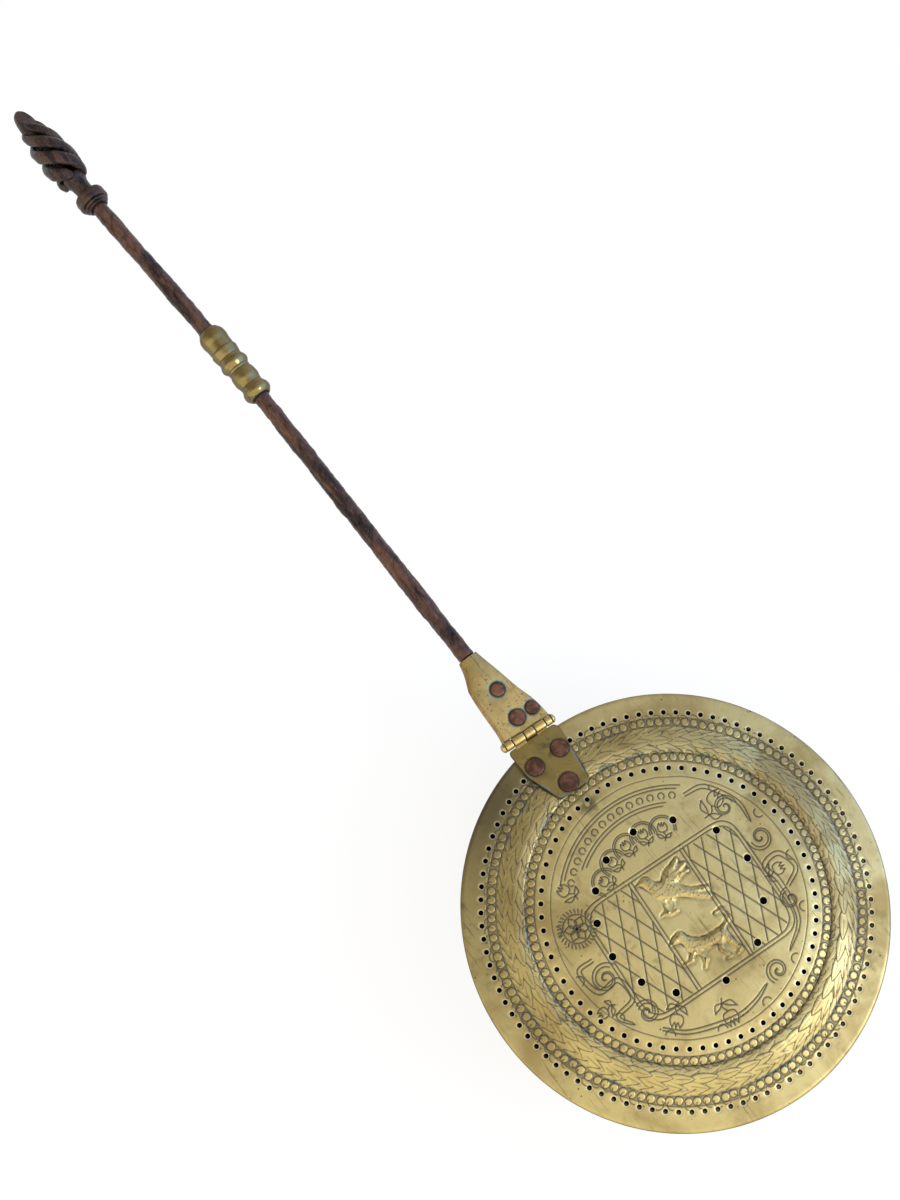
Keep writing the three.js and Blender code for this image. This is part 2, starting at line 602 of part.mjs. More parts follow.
/** The collar's turned rings, stepped up from the rod to a sharp back edge. */
function collar() {
  const bore = ROD_RADIUS + CLEARANCE;
  const steps = [[0, 8.2], [0.1, 8.9], [0.16, 8.7], [0.28, 10.4], [0.34, 10.1], [0.5, 11.7], [0.56, 11.5],
    [0.7, 12.4], [0.84, 12.3], [0.96, 11.6], [1, 10.4]];
  return turned([
    [0, bore],
    ...steps.map(([share, radius]) => [share * COLLAR_LENGTH, radius]),
    [COLLAR_LENGTH, bore],
    [0, bore],
  ]);
}

/** The plain neck, which runs on a little way inside the strands. */
function finialNeck() {
  const end = NECK_LENGTH + STRAND_SEAT;
  return turned([
    [0, 0], [0, NECK_RADIUS], [end, NECK_RADIUS], [end + 1.5, NECK_RADIUS - 1.5], [end + 2.5, 0],
  ], 16);
}

const strandFooting = (radius) => radius + CLEARANCE + STRAND_THICKNESS / 2;

/** Distance of a strand's middle from the finial's axis, by its share of the basket's length. */
const STRAND_CURVE = new THREE.SplineCurve([
  [0, strandFooting(NECK_RADIUS)],
  [0.06, strandFooting(NECK_RADIUS) + 0.6],
  [0.22, BASKET_RADIUS],
  [0.42, BASKET_RADIUS],
  [0.62, BASKET_RADIUS - 1],
  [0.82, BASKET_RADIUS - 3],
  [1, strandFooting(TIP_RADIUS)],
].map(([share, radius]) => new THREE.Vector2(share, radius)));

/** One flat strand that winds round the finial's axis from the neck to the tip. */
function strand(phase) {
  const steps = 14;
  const sides = 8;
  const centreAt = (share) => {
    const radius = STRAND_CURVE.getPoint(share).y;
    const angle = phase + share * STRAND_TURN * 2 * Math.PI;
    return new THREE.Vector3(share * BASKET_LENGTH, radius * Math.cos(angle), radius * Math.sin(angle));
  };
  const rings = Array.from({ length: steps + 1 }, (_, i) => {
    const share = i / steps;
    const centre = centreAt(share);
    const outward = new THREE.Vector3(0, centre.y, centre.z).normalize();
    const along = centreAt(Math.min(1, share + 0.01)).sub(centreAt(Math.max(0, share - 0.01))).normalize();
    const across = new THREE.Vector3().crossVectors(outward, along).normalize();
    const taper = STRAND_CURVE.getPoint(share).y / BASKET_RADIUS;
    return Array.from({ length: sides }, (_unused, j) => {
      const turn = ((j + 0.5) / sides) * 2 * Math.PI;
      return centre.clone()
        .addScaledVector(across, (STRAND_WIDTH / 2) * taper * Math.cos(turn))
        .addScaledVector(outward, (STRAND_THICKNESS / 2) * Math.sin(turn));
    });
  });
  return loft(rings);
}

/** The solid point that closes the basket, rooted between the ends of the strands. */
function finialTip() {
  return turned([
    [-8, 0], [-7, 2], [-4, TIP_RADIUS - 1.2], [0, TIP_RADIUS], [2, TIP_RADIUS],
    [4.5, TIP_RADIUS + TIP_SWELL], [TIP_LENGTH - 6, TIP_RADIUS + TIP_SWELL - 0.6],
    [TIP_LENGTH - 2, 3.4], [TIP_LENGTH, 0],
  ], 12);
}

// ---------------------------------------------------------------- assembly

/** Names a geometry's mesh and gives it its material. */
function piece(name, geometry, material) {
  const mesh = new THREE.Mesh(geometry, material);
  mesh.name = name;
  return mesh;
}

/** A group whose frame starts at a point of its parent and is turned about Z. */
function frameAt(x, y, z, turn, children) {
  const group = new THREE.Group();
  group.position.set(x, y, z);
  group.rotation.z = turn;
  group.add(...children);
  return group;
}

/** The twisted openwork finial, in a frame that starts at the near face of the collar. */
function finial() {
  const strands = Array.from({ length: STRAND_COUNT }, (_, i) => (
    piece(`finial_strand_${i + 1}`, strand((i / STRAND_COUNT) * 2 * Math.PI), IRON)));
  return frameAt(COLLAR_LENGTH + CLEARANCE, 0, 0, 0, [
    piece('finial_neck', finialNeck(), IRON),
    frameAt(NECK_LENGTH, 0, 0, 0, [
      ...strands,
      frameAt(BASKET_LENGTH, 0, 0, 0, [piece('finial_tip', finialTip(), IRON)]),
    ]),
  ]);
}

/** The part of the handle beyond the lower rod, bent a little at each mouth of the ferrule. */
function handleBeyondLowerRod() {
  const pivot = FERRULE_INSERT / 2;
  const collarFrame = frameAt(pivot + UPPER_ROD_LENGTH, 0, 0, 0, [
    piece('handle_collar', collar(), IRON),
    finial(),
  ]);
  const upper = piece('handle_upper_rod', upperRod(), IRON);
  upper.position.x = -pivot;
  const farMouth = frameAt(FERRULE_LENGTH - 2 * pivot, 0, 0, rad(FERRULE_BEND), [upper, collarFrame]);
  const sleeve = piece('handle_ferrule', ferrule(), POLISHED_BRASS);
  sleeve.position.x = -pivot;
  return frameAt(FERRULE_X + pivot, HANDLE_OFFSET, -ROD_DROP, rad(FERRULE_BEND), [sleeve, farMouth]);
}

/** Everything that is placed from the middle of the lid's edge plane. */
const aboveRim = frameAt(RIM_SHIFT, 0, LID_EDGE_Z, 0, [
  piece('lid_sheet', lidSheet(), BRASS),
  piece('lid_hinge_leaf', hingeLeaf(), BRASS),
  ...LEAF_RIVETS.map(([u, v, head], i) => piece(`lid_rivet_${i + 1}`, leafRivet(u, v, head), COPPER)),
  piece('hinge_pin', hingePin(), BRASS),
  piece('socket_plate', socketPlate(), BRASS),
  ...SOCKET_RIVETS.map(([u, v, head, throughBracket], i) => (
    piece(`socket_rivet_${i + 1}`, socketRivet(u, v, head, throughBracket), COPPER))),
  piece('pan_bracket', bracket(), IRON),
  piece('handle_lower_rod', lowerRod(), IRON),
  handleBeyondLowerRod(),
]);

const warmingPan = new THREE.Group();
warmingPan.add(
  piece('pan_bowl', panBowl(), BRASS),
  piece('pan_rim_wire', rimWire(), IRON),
  ...WALL_RIVET_DROPS.map((drop, i) => piece(`bracket_rivet_${i + 1}`, wallRivet(drop), COPPER)),
  aboveRim,
);

export default warmingPan;
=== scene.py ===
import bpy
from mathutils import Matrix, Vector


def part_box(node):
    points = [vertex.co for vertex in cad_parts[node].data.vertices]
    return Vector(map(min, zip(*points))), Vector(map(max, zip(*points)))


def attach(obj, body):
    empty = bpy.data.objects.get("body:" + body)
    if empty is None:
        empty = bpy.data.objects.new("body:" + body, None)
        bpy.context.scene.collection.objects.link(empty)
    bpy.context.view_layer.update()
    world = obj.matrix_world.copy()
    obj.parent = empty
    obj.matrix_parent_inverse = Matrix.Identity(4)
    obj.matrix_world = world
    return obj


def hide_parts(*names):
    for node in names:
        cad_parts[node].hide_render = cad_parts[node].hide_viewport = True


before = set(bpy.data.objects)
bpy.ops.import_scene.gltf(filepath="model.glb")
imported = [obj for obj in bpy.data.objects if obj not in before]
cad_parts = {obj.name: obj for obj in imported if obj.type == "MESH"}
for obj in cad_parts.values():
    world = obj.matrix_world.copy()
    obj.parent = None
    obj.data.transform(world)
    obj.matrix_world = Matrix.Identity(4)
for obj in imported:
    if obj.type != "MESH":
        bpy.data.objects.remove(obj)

"""A bed warming pan: embossed brass lid, brass pan, and a rusted iron handle with a twisted finial.

Lengths are millimetres unless a name ends in _m. Each sub-assembly is a class, and its meshes are
worked out as whole numpy arrays. The lid's own frame has its origin at the middle of its edge plane.
"""

import logging
import math
from dataclasses import dataclass, field
from enum import Enum
from functools import reduce
from typing import Callable, Optional, Sequence

import bpy
import numpy as np
from mathutils import Matrix, Vector

LOG = logging.getLogger("warming_pan")
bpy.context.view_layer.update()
MM = 0.001
TAU = 2 * math.pi
Array = np.ndarray
Colour = tuple[float, float, float]
Masks = dict[str, Array]


class Body(Enum):
    """The bodies of the frame that a piece can ride on."""

    PAN = "pan"
    LID = "lid"


class Slot(Enum):
    """The record's material slots."""

    LID = "lid_brass"
    PAN = "pan_brass"
    HINGE = "hinge_brass"
    FERRULE = "ferrule_brass"
    COPPER = "copper"
    IRON = "iron"


# ---------------------------------------------------------------- numbers and arrays


def gauss(distance: Array, width: float) -> Array:
    """A bell curve: 1 at distance 0, fading over the width."""
    return np.exp(-((distance / width) ** 2))


def ease(value: Array, low: float, high: float) -> Array:
    """0 below low, 1 above high, and a smooth S between them."""
    t = np.clip((value - low) / (high - low), 0, 1)
    return t * t * (3 - 2 * t)


def most(*values: Array) -> Array:
    """The greatest of several arrays at each point."""
    return reduce(np.maximum, values)


def unit(rows: Array) -> Array:
    """Each row, scaled to length 1."""
    return rows / np.linalg.norm(rows, axis=1)[:, None]


def squared_off(wave: Array, power: float) -> Array:
    """A sine or cosine with its flanks made steeper, for a section with rounded corners."""
    return np.sign(wave) * np.abs(wave) ** power


def closing(t: Array, start: float, end: float) -> Array:
    """1 along a path, and a quarter circle down to 0 over its first and last shares."""
    near, far = np.clip((start - t) / start, 0, 1), np.clip((t - 1 + end) / end, 0, 1)
    return np.sqrt((1 - near ** 2) * (1 - far ** 2))


def polar(radius: float, degrees: float) -> tuple[float, float]:
    """The point at a radius and an angle in degrees."""
    return radius * math.cos(math.radians(degrees)), radius * math.sin(math.radians(degrees))


def smooth_curve(x: Array, knots: Sequence[tuple[float, float]]) -> Array:
    """A monotone cubic through the knots: Hermite pieces whose slopes never overshoot.

    Args:
        x: where to read the curve.
        knots: (x, y) pairs with rising x.

    Returns:
        The curve's height at each x.
    """
    kx, ky = np.array(knots, float).T
    step = np.diff(kx)
    chord = np.diff(ky) / step
    slope = np.concatenate([chord[:1], np.where(chord[1:] * chord[:-1] > 0,
                            2 * chord[1:] * chord[:-1] / (chord[1:] + chord[:-1] + 1e-12), 0), chord[-1:]])
    i = np.clip(np.searchsorted(kx, x) - 1, 0, len(step) - 1)
    t = np.clip((x - kx[i]) / step[i], 0, 1)
    return (ky[i] * (1 + 2 * t) * (1 - t) ** 2 + slope[i] * step[i] * t * (1 - t) ** 2
            + ky[i + 1] * t * t * (3 - 2 * t) + slope[i + 1] * step[i] * t * t * (t - 1))


def value_noise(x: Array, y: Array, cell: float, seed: int) -> Array:
    """Smoothly joined random values on a square lattice.

    Args:
        x: first coordinate.
        y: second coordinate.
        cell: distance between lattice points, in the same unit.
        seed: picks the random table.

    Returns:
        Values from -1 to 1.
    """
    side = 128
    table = np.random.default_rng(seed).uniform(-1, 1, (side, side))
    fx, fy = x / cell, y / cell
    ix, iy = np.floor(fx).astype(int), np.floor(fy).astype(int)
    tx, ty = fx - ix, fy - iy
    tx, ty = tx * tx * (3 - 2 * tx), ty * ty * (3 - 2 * ty)
    left, right, near, far = ix % side, (ix + 1) % side, iy % side, (iy + 1) % side
    low = table[left, near] * (1 - tx) + table[right, near] * tx
    high = table[left, far] * (1 - tx) + table[right, far] * tx
    return low * (1 - ty) + high * ty


def distance_to_line(x: Array, y: Array, line: Array) -> Array:
    """Distance from each point to the nearest of the segments of a polyline.

    Args:
        x: x of each point.
        y: y of each point.
        line: the line's corners, as (x, y) rows.

    Returns:
        Each point's distance to the line.
    """
    best = np.full(x.shape, 1e9)
    for (ax, ay), (bx, by) in zip(line[:-1], line[1:]):
        dx, dy = bx - ax, by - ay
        t = np.clip(((x - ax) * dx + (y - ay) * dy) / (dx * dx + dy * dy + 1e-12), 0, 1)
        best = np.minimum(best, np.hypot(x - ax - t * dx, y - ay - t * dy))
    return best


# ---------------------------------------------------------------- meshes


@dataclass
class Skin:
    """A surface: its points in millimetres, its faces, and a value at each point for each mask."""

    points: Array
    faces: Array
    masks: Masks = field(default_factory=dict)

    def moved(self, offset: Sequence[float]) -> "Skin":
        """The same surface, moved by an offset."""
        return Skin(self.points + np.array(offset, float), self.faces, self.masks)

    def placed(self, matrix: Matrix) -> "Skin":
        """The same surface, put through a 4 by 4 matrix in millimetres."""
        m = np.array(matrix)
        return Skin(self.points @ m[:3, :3].T + m[:3, 3], self.faces, self.masks)


def joined(skins: Sequence[Skin]) -> Skin:
    """Several surfaces as one, with any mask that one of them lacks filled with 0.

    Args:
        skins: the surfaces.

    Returns:
        One surface that holds them all.
    """
    names = {name for skin in skins for name in skin.masks}
    starts = np.cumsum([0] + [len(skin.points) for skin in skins[:-1]])
    masks = {name: np.concatenate([skin.masks.get(name, np.zeros(len(skin.points))) for skin in skins])
             for name in names}
    return Skin(np.concatenate([skin.points for skin in skins]),
                np.concatenate([skin.faces + start for skin, start in zip(skins, starts)]), masks)


def grid_faces(rows: int, columns: int, closed: bool) -> Array:
    """Four-sided faces over a grid of points, row after row.

    Args:
        rows: points along the first parameter.
        columns: points along the second parameter.
        closed: whether the last column joins the first.

    Returns:
        An array of corner numbers, one row for each face.
    """
    j = np.arange(columns if closed else columns - 1)
    i = np.arange(rows - 1)[:, None]
    k = (j + 1) % columns
    corners = np.stack(np.broadcast_arrays(i * columns + j, i * columns + k,
                                           (i + 1) * columns + k, (i + 1) * columns + j), axis=-1)
    return corners.reshape(-1, 4)


def thickened(skin: Skin, depth: float) -> Skin:
    """Gives an open surface a thickness: a copy of it lower down, and a wall along every open edge.

    Args:
        skin: the upper face.
        depth: how far down the lower face is.

    Returns:
        The closed surface.
    """
    count = len(skin.points)
    edges = np.stack([skin.faces, np.roll(skin.faces, -1, 1)], axis=-1).reshape(-1, 2)
    keys = np.sort(edges, axis=1) @ np.array([count, 1])
    _, first, times = np.unique(keys, return_index=True, return_counts=True)
    open_edges = edges[first[times == 1]]
    a, b = open_edges.T
    walls = np.stack([b, a, a + count, b + count], axis=-1)
    faces = np.concatenate([skin.faces, skin.faces[:, ::-1] + count, walls])
    points = np.concatenate([skin.points, skin.points - np.array([0, 0, depth])])
    return Skin(points, faces, {name: np.concatenate([values, values]) for name, values in skin.masks.items()})


def closed_up(skin: Skin) -> tuple[Skin, Array]:
    """Merges points that lie together, such as those of a pole, and turns the faces that this narrows to triangles.

    Args:
        skin: a surface of four-sided faces.

    Returns:
        The surface with its four-sided faces, and its triangles.
    """
    _, first, place = np.unique(np.round(skin.points, 3), axis=0, return_index=True, return_inverse=True)
    place = place.ravel()
    faces = place[skin.faces]
    again = faces == np.roll(faces, -1, 1)
    narrow = again.sum(1) == 1
    thin = faces[narrow]
    start = np.argmax(again[narrow], axis=1)
    rows = np.arange(len(thin))
    triangles = np.stack([thin[rows, (start + k) % 4] for k in (1, 2, 3)], axis=-1)
    masks = {name: values[first] for name, values in skin.masks.items()}
    return Skin(skin.points[first], faces[again.sum(1) == 0], masks), triangles


def revolved(profile: Array, segments: int) -> Skin:
    """A profile carried round Z: point (r, z) goes to (r cos a, r sin a, z) for a from 0 to a full turn.

    Args:
        profile: (r, z) rows, with the solid on the left as the profile is followed.
        segments: how many steps round.

    Returns:
        The surface.
    """
    a = np.arange(segments) / segments * TAU
    r, z = np.asarray(profile, float).T
    points = np.stack([r[:, None] * np.cos(a), r[:, None] * np.sin(a),
                       np.broadcast_to(z[:, None], (len(z), segments))], axis=-1)
    return Skin(points.reshape(-1, 3), grid_faces(len(r), segments, True))


def turned_along_x(profile: Array, segments: int) -> Skin:
    """A profile of (x, radius) rows carried round X, from the near end to the far end."""
    skin = revolved(np.asarray(profile, float)[:, ::-1], segments)
    skin.points = skin.points[:, [2, 1, 0]] * np.array([1, -1, 1])
    return skin


def swept(centres: Array, across: Array, outward: Array, section: Callable[[Array, Array], tuple[Array, Array]],
          sides: int) -> Skin:
    """A closed section carried along a path: centre + u across + v outward.

    Args:
        centres: one row for each station.
        across: unit vectors along the section's first direction.
        outward: unit vectors along its second direction.
        section: gives (u, v) from the share of the path and the angle round the section.
        sides: points round the section.

    Returns:
        The surface, whose first and last sections should have closed to a point.
    """
    share = np.linspace(0, 1, len(centres))[:, None]
    angle = (np.arange(sides) / sides * TAU)[None, :]
    u, v = section(share, angle)
    points = centres[:, None] + u[..., None] * across[:, None] + v[..., None] * outward[:, None]
    return Skin(points.reshape(-1, 3), grid_faces(len(centres), sides, True))


def resampled(path: Array, spacing: float, least: int) -> Array:
    """A path read again at even steps: as many as the spacing gives, and no fewer than least.

    Args:
        path: (x, y) rows.
        spacing: distance between two points, in mm.
        least: the least number of steps.

    Returns:
        The evenly spaced points.
    """
    length = np.concatenate([[0], np.cumsum(np.linalg.norm(np.diff(path, axis=0), axis=1))])
    marks = np.linspace(0, length[-1], max(least, int(length[-1] / spacing)) + 1)
    return np.column_stack([np.interp(marks, length, column) for column in path.T])


def rounded_outline(corners: Sequence[tuple[float, float]], radius: float, spacing: float) -> Array:
    """A closed outline with its corners rounded, as evenly spaced points.

    Each corner is replaced by a quadratic curve that starts and ends a radius away from it.
    """
    c = np.array(corners, float)
    pieces = []
    t = np.linspace(0, 1, 6)[:, None]
    for before, here, after in zip(np.roll(c, 1, 0), c, np.roll(c, -1, 0)):
        start, end = (here + (to - here) * min(radius / np.linalg.norm(to - here), 1 / 2.2) for to in (before, after))
        pieces.append(start * (1 - t) ** 2 + here * 2 * t * (1 - t) + end * t * t)
    return resampled(np.concatenate(pieces + [pieces[0][:1]]), spacing, 12)[:-1]


def plate(outline: Array, top: Callable[[Array, Array], Array], bottom: Callable[[Array, Array], Array],
          edge: float, rows: int = 18) -> Skin:
    """A flat plate with rounded edges, as rings that shrink from its outline to its middle.

    Args:
        outline: the plate's outline, anticlockwise seen from above.
        top: height of the upper face at (x, y).
        bottom: height of the lower face at (x, y).
        edge: radius of the rounded edge.
        rows: rings on each face.

    Returns:
        The closed surface.
    """
    middle = outline.mean(0)
    tangent = unit(np.roll(outline, -1, 0) - np.roll(outline, 1, 0))
    inward = np.stack([-tangent[:, 1], tangent[:, 0]], axis=-1)
    turn = np.linspace(0, math.pi / 2, 4)
    inner = outline + inward * edge

    def face(height: Callable[[Array, Array], Array], sign: int) -> list[Array]:
        """One face's rings, from its middle out; sign is 1 for the upper face and -1 for the lower."""
        rows_out = []
        for share in np.linspace(0, 1, rows)[:0:-1]:
            xy = inner + (middle - inner) * share
            rows_out.append(np.column_stack([xy, height(xy[:, 0], xy[:, 1])]))
        for angle in turn[::-1]:
            xy = outline + inward * edge * (1 - math.cos(angle))
            z = height(inner[:, 0], inner[:, 1]) - sign * edge * (1 - math.sin(angle))
            rows_out.append(np.column_stack([xy, z]))
        return rows_out

    rings = face(bottom, -1) + face(top, 1)[::-1]
    return Skin(np.concatenate(rings), grid_faces(len(rings), len(outline), True))


def piece(name: str, skin: Skin, material: bpy.types.Material, body: Body,
          replaces: Sequence[str] = (), sharp: float = 58.0) -> bpy.types.Object:
    """Makes an object from a surface, dresses it and tells the frame where it belongs.

    Args:
        name: the piece's name.
        skin: its surface in millimetres.
        material: its finish.
        body: the body that it rides on.
        replaces: the frame's nodes that it stands for.
        sharp: edges that turn by more than this angle, in degrees, are shaded as sharp.

    Returns:
        The new object.
    """
    mesh = bpy.data.meshes.new(name)
    skin, triangles = closed_up(skin)
    corners = np.concatenate([skin.faces.ravel(), triangles.ravel()]).astype(np.int32)
    starts = np.concatenate([np.arange(len(skin.faces)) * 4,
                             skin.faces.size + np.arange(len(triangles)) * 3]).astype(np.int32)
    mesh.vertices.add(len(skin.points))
    mesh.vertices.foreach_set("co", (skin.points * MM).astype(np.float32).ravel())
    mesh.loops.add(len(corners))
    mesh.loops.foreach_set("vertex_index", corners)
    mesh.polygons.add(len(starts))
    mesh.polygons.foreach_set("loop_start", starts)
    mesh.polygons.foreach_set("use_smooth", np.ones(len(starts), bool))
    for mask, values in skin.masks.items():
        mesh.attributes.new(mask, "FLOAT", "POINT").data.foreach_set("value", values.astype(np.float32))
    mesh.update(calc_edges=True)
    mesh.validate()
    mesh.set_sharp_from_angle(angle=math.radians(sharp))
    mesh.materials.append(material)
    obj = bpy.data.objects.new(name, mesh)
    bpy.context.scene.collection.objects.link(obj)
    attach(obj, body.value)
    if replaces:
        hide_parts(*replaces)
    LOG.info("%s: %d faces", name, len(starts))
    return obj


# ---------------------------------------------------------------- shader building


class Graph:
    """A node tree, and short ways to add to it. An input may be a number, a colour or another socket."""

    def __init__(self, tree: bpy.types.NodeTree) -> None:
        """Starts on an emptied tree."""
        self.tree = tree
        tree.nodes.clear()

    def feed(self, socket: bpy.types.NodeSocket, value: object) -> None:
        """Links a socket to an input, or sets the input's own value."""
        if isinstance(value, bpy.types.NodeSocket):
            self.tree.links.new(value, socket)
        elif isinstance(value, tuple) and socket.type == "RGBA":
            socket.default_value = (*value, 1.0)[:4]
        elif value is not None:
            socket.default_value = value

    def add(self, kind: str, values: Optional[dict[object, object]] = None, **settings: object) -> bpy.types.Node:
        """Adds a node.

        Args:
            kind: the node's type name.
            values: what goes to each input, by name or number.
            settings: the node's own properties.

        Returns:
            The node.
        """
        made = self.tree.nodes.new(kind)
        for name, value in settings.items():
            setattr(made, name, value)
        for name, value in (values or {}).items():
            self.feed(made.inputs[name], value)
        return made

    def math(self, operation: str, a: object, b: object) -> bpy.types.NodeSocket:
        """One Math node's result."""
        return self.add("ShaderNodeMath", {0: a, 1: b}, operation=operation).outputs[0]

    def mix(self, share: object, low: object, high: object) -> bpy.types.NodeSocket:
        """A colour between two colours."""
        made = self.add("ShaderNodeMix", data_type="RGBA")
        for socket, value in zip([s for s in made.inputs if s.enabled], (share, low, high)):
            self.feed(socket, value)
        return [s for s in made.outputs if s.enabled][0]

    def ramp(self, value: object, low: object, high: object, to_low: float = 0.0,
             to_high: float = 1.0) -> bpy.types.NodeSocket:
        """A smooth step: to_low below low, and to_high above high."""
        return self.add("ShaderNodeMapRange", {0: value, 1: low, 2: high, 3: to_low, 4: to_high},
                        interpolation_type="SMOOTHSTEP").outputs[0]

    def noise(self, vector: object, scale: float, detail: float = 3.0, rough: float = 0.55,
              distortion: float = 0.0) -> bpy.types.NodeSocket:
        """A noise texture's value, about 0.5 on average."""
        return self.add("ShaderNodeTexNoise", {"Vector": vector, "Scale": scale, "Detail": detail,
                        "Roughness": rough, "Distortion": distortion}).outputs[0]

    def attribute(self, name: str) -> bpy.types.NodeSocket:
        """A mesh mask, which is 0 on a mesh that lacks it."""
        return self.add("ShaderNodeAttribute", attribute_name=name).outputs["Fac"]

    def place(self) -> bpy.types.NodeSocket:
        """Object coordinates, in metres."""
        return self.add("ShaderNodeTexCoord").outputs["Object"]

    def tint(self, colour: object, mask: object, share: float, other: Colour) -> bpy.types.NodeSocket:
        """A colour, turned into another where a mask is high, by at most a share."""
        return self.mix(self.math("MULTIPLY", mask, share), colour, other)

    def end(self, shader: bpy.types.Node, kind: str = "ShaderNodeOutputMaterial") -> None:
        """Links a shader to a new output."""
        self.tree.links.new(shader.outputs[0], self.add(kind).inputs[0])


def group(name: str, inputs: Sequence[tuple[str, str, float]], outputs: Sequence[str],
          build: Callable[[Graph, bpy.types.Node], Sequence[object]]) -> bpy.types.NodeTree:
    """Makes a shader node group.

    Args:
        name: the group's name.
        inputs: (name, socket type, starting value) of each input.
        outputs: name of each output, which is a number.
        build: adds the nodes between them and returns what goes to each output.

    Returns:
        The group.
    """
    tree = bpy.data.node_groups.new(name, "ShaderNodeTree")
    for label, kind, value in inputs:
        socket = tree.interface.new_socket(label, in_out="INPUT", socket_type=kind)
        if kind == "NodeSocketFloat":
            socket.default_value = value
    for label in outputs:
        tree.interface.new_socket(label, in_out="OUTPUT", socket_type="NodeSocketFloat")
    graph = Graph(tree)
    start, end = graph.add("NodeGroupInput"), graph.add("NodeGroupOutput")
    for label, value in zip(outputs, build(graph, start)):
        graph.feed(end.inputs[label], value)
    return tree


@dataclass
class Effects:
    """The shader groups that the finishes share."""

    blotches: bpy.types.NodeTree = field(init=False)
    scratches: bpy.types.NodeTree = field(init=False)
    specks: bpy.types.NodeTree = field(init=False)

    def __post_init__(self) -> None:
        """Builds the groups."""
        place = ("Vector", "NodeSocketVector", 0.0)

        def blotches(graph: Graph, start: bpy.types.Node) -> Sequence[object]:
            """Soft-edged patches, and the cloud they are cut from."""
            cloud = graph.noise(start.outputs["Vector"], start.outputs["Scale"], 6.0, 0.62, 0.4)
            return [graph.ramp(cloud, start.outputs["Low"], start.outputs["High"]), cloud]

        def scratches(graph: Graph, start: bpy.types.Node) -> Sequence[object]:
            """Fine bent scratches in three directions, here and there."""
            bent = graph.add("ShaderNodeTexNoise", {"Vector": start.outputs["Vector"], "Scale": 14.0, "Detail": 2.0})
            shifted = graph.add("ShaderNodeVectorMath", {0: bent.outputs["Color"], 1: (0.012, 0.012, 0.012)},
                                operation="MULTIPLY")
            moved = graph.add("ShaderNodeVectorMath", {0: start.outputs["Vector"], 1: shifted.outputs[0]},
                              operation="ADD").outputs[0]
            marks = []
            for turn, stretch in ((0.4, 30.0), (1.7, 24.0), (2.6, 36.0)):
                turned = graph.add("ShaderNodeMapping", {"Vector": moved, "Rotation": (0.0, 0.0, turn),
                                   "Scale": (1.0, stretch, 4.0)})
                grain = graph.noise(turned.outputs[0], start.outputs["Scale"], 2.0, 0.5)
                marks.append(graph.ramp(grain, 0.66, 0.74))
            most = graph.math("MAXIMUM", graph.math("MAXIMUM", marks[0], marks[1]), marks[2])
            patchy = graph.ramp(graph.noise(start.outputs["Vector"], 22.0, 2.0), 0.4, 0.62)
            return [graph.math("MULTIPLY", most, patchy)]

        def specks(graph: Graph, start: bpy.types.Node) -> Sequence[object]:
            """Round pits, thicker in some places than in others."""
            cells = graph.add("ShaderNodeTexVoronoi", {"Vector": start.outputs["Vector"],
                              "Scale": start.outputs["Scale"]})
            sizes = graph.noise(start.outputs["Vector"], 60.0, 2.0)
            reach = graph.math("MULTIPLY", graph.ramp(sizes, 0.45, 0.75), start.outputs["Size"])
            return [graph.math("LESS_THAN", cells.outputs["Distance"], reach)]

        number = "NodeSocketFloat"
        self.blotches = group("blotches", [place, ("Scale", number, 10.0), ("Low", number, 0.4),
                              ("High", number, 0.6)], ["Mask", "Cloud"], blotches)
        self.scratches = group("scratches", [place, ("Scale", number, 20.0)], ["Mask"], scratches)
        self.specks = group("specks", [place, ("Scale", number, 300.0), ("Size", number, 0.3)], ["Mask"], specks)

    def use(self, graph: Graph, tree: bpy.types.NodeTree, **values: object) -> bpy.types.Node:
        """Adds one of the groups to a graph, with its inputs given by name."""
        made = graph.add("ShaderNodeGroup", node_tree=tree)
        for name, value in values.items():
            graph.feed(made.inputs[name], value)
        return made


def painted_outline_shade(graph: Graph) -> bpy.types.NodeSocket:
    """0 where the surface faces the eye, and 1 near its outline: painted shade, a dark reflection painted where the
    metal turns away.
    """
    facing = graph.add("ShaderNodeLayerWeight", {"Blend": 0.5}).outputs["Facing"]
    return graph.ramp(facing, 0.3, 0.8)


@dataclass(frozen=True)
class Finish:
    """A material. Each kind of metal says how its nodes are built."""

    name: str

    def dress(self, graph: Graph, effects: Effects) -> None:
        """Adds the material's nodes.

        Args:
            graph: the material's tree.
            effects: the shared groups.
        """
        raise NotImplementedError

    def make(self, effects: Effects) -> bpy.types.Material:
        """Builds the material from the shared groups."""
        material = bpy.data.materials.new(self.name)
        material.use_nodes = True
        self.dress(Graph(material.node_tree), effects)
        return material

    @staticmethod
    def coat(graph: Graph, height: object, strength: float, distance: float, inputs: dict[object, object]) -> None:
        """Adds the bump, the shader and the output.

        Args:
            graph: the material's tree.
            height: what the bump is read from.
            strength: the bump's strength.
            distance: the bump's depth.
            inputs: what goes to the shader.
        """
        bump = graph.add("ShaderNodeBump", {"Strength": strength, "Distance": distance, "Height": height})
        graph.end(graph.add("ShaderNodeBsdfPrincipled", {**inputs, "Normal": bump.outputs[0]}))


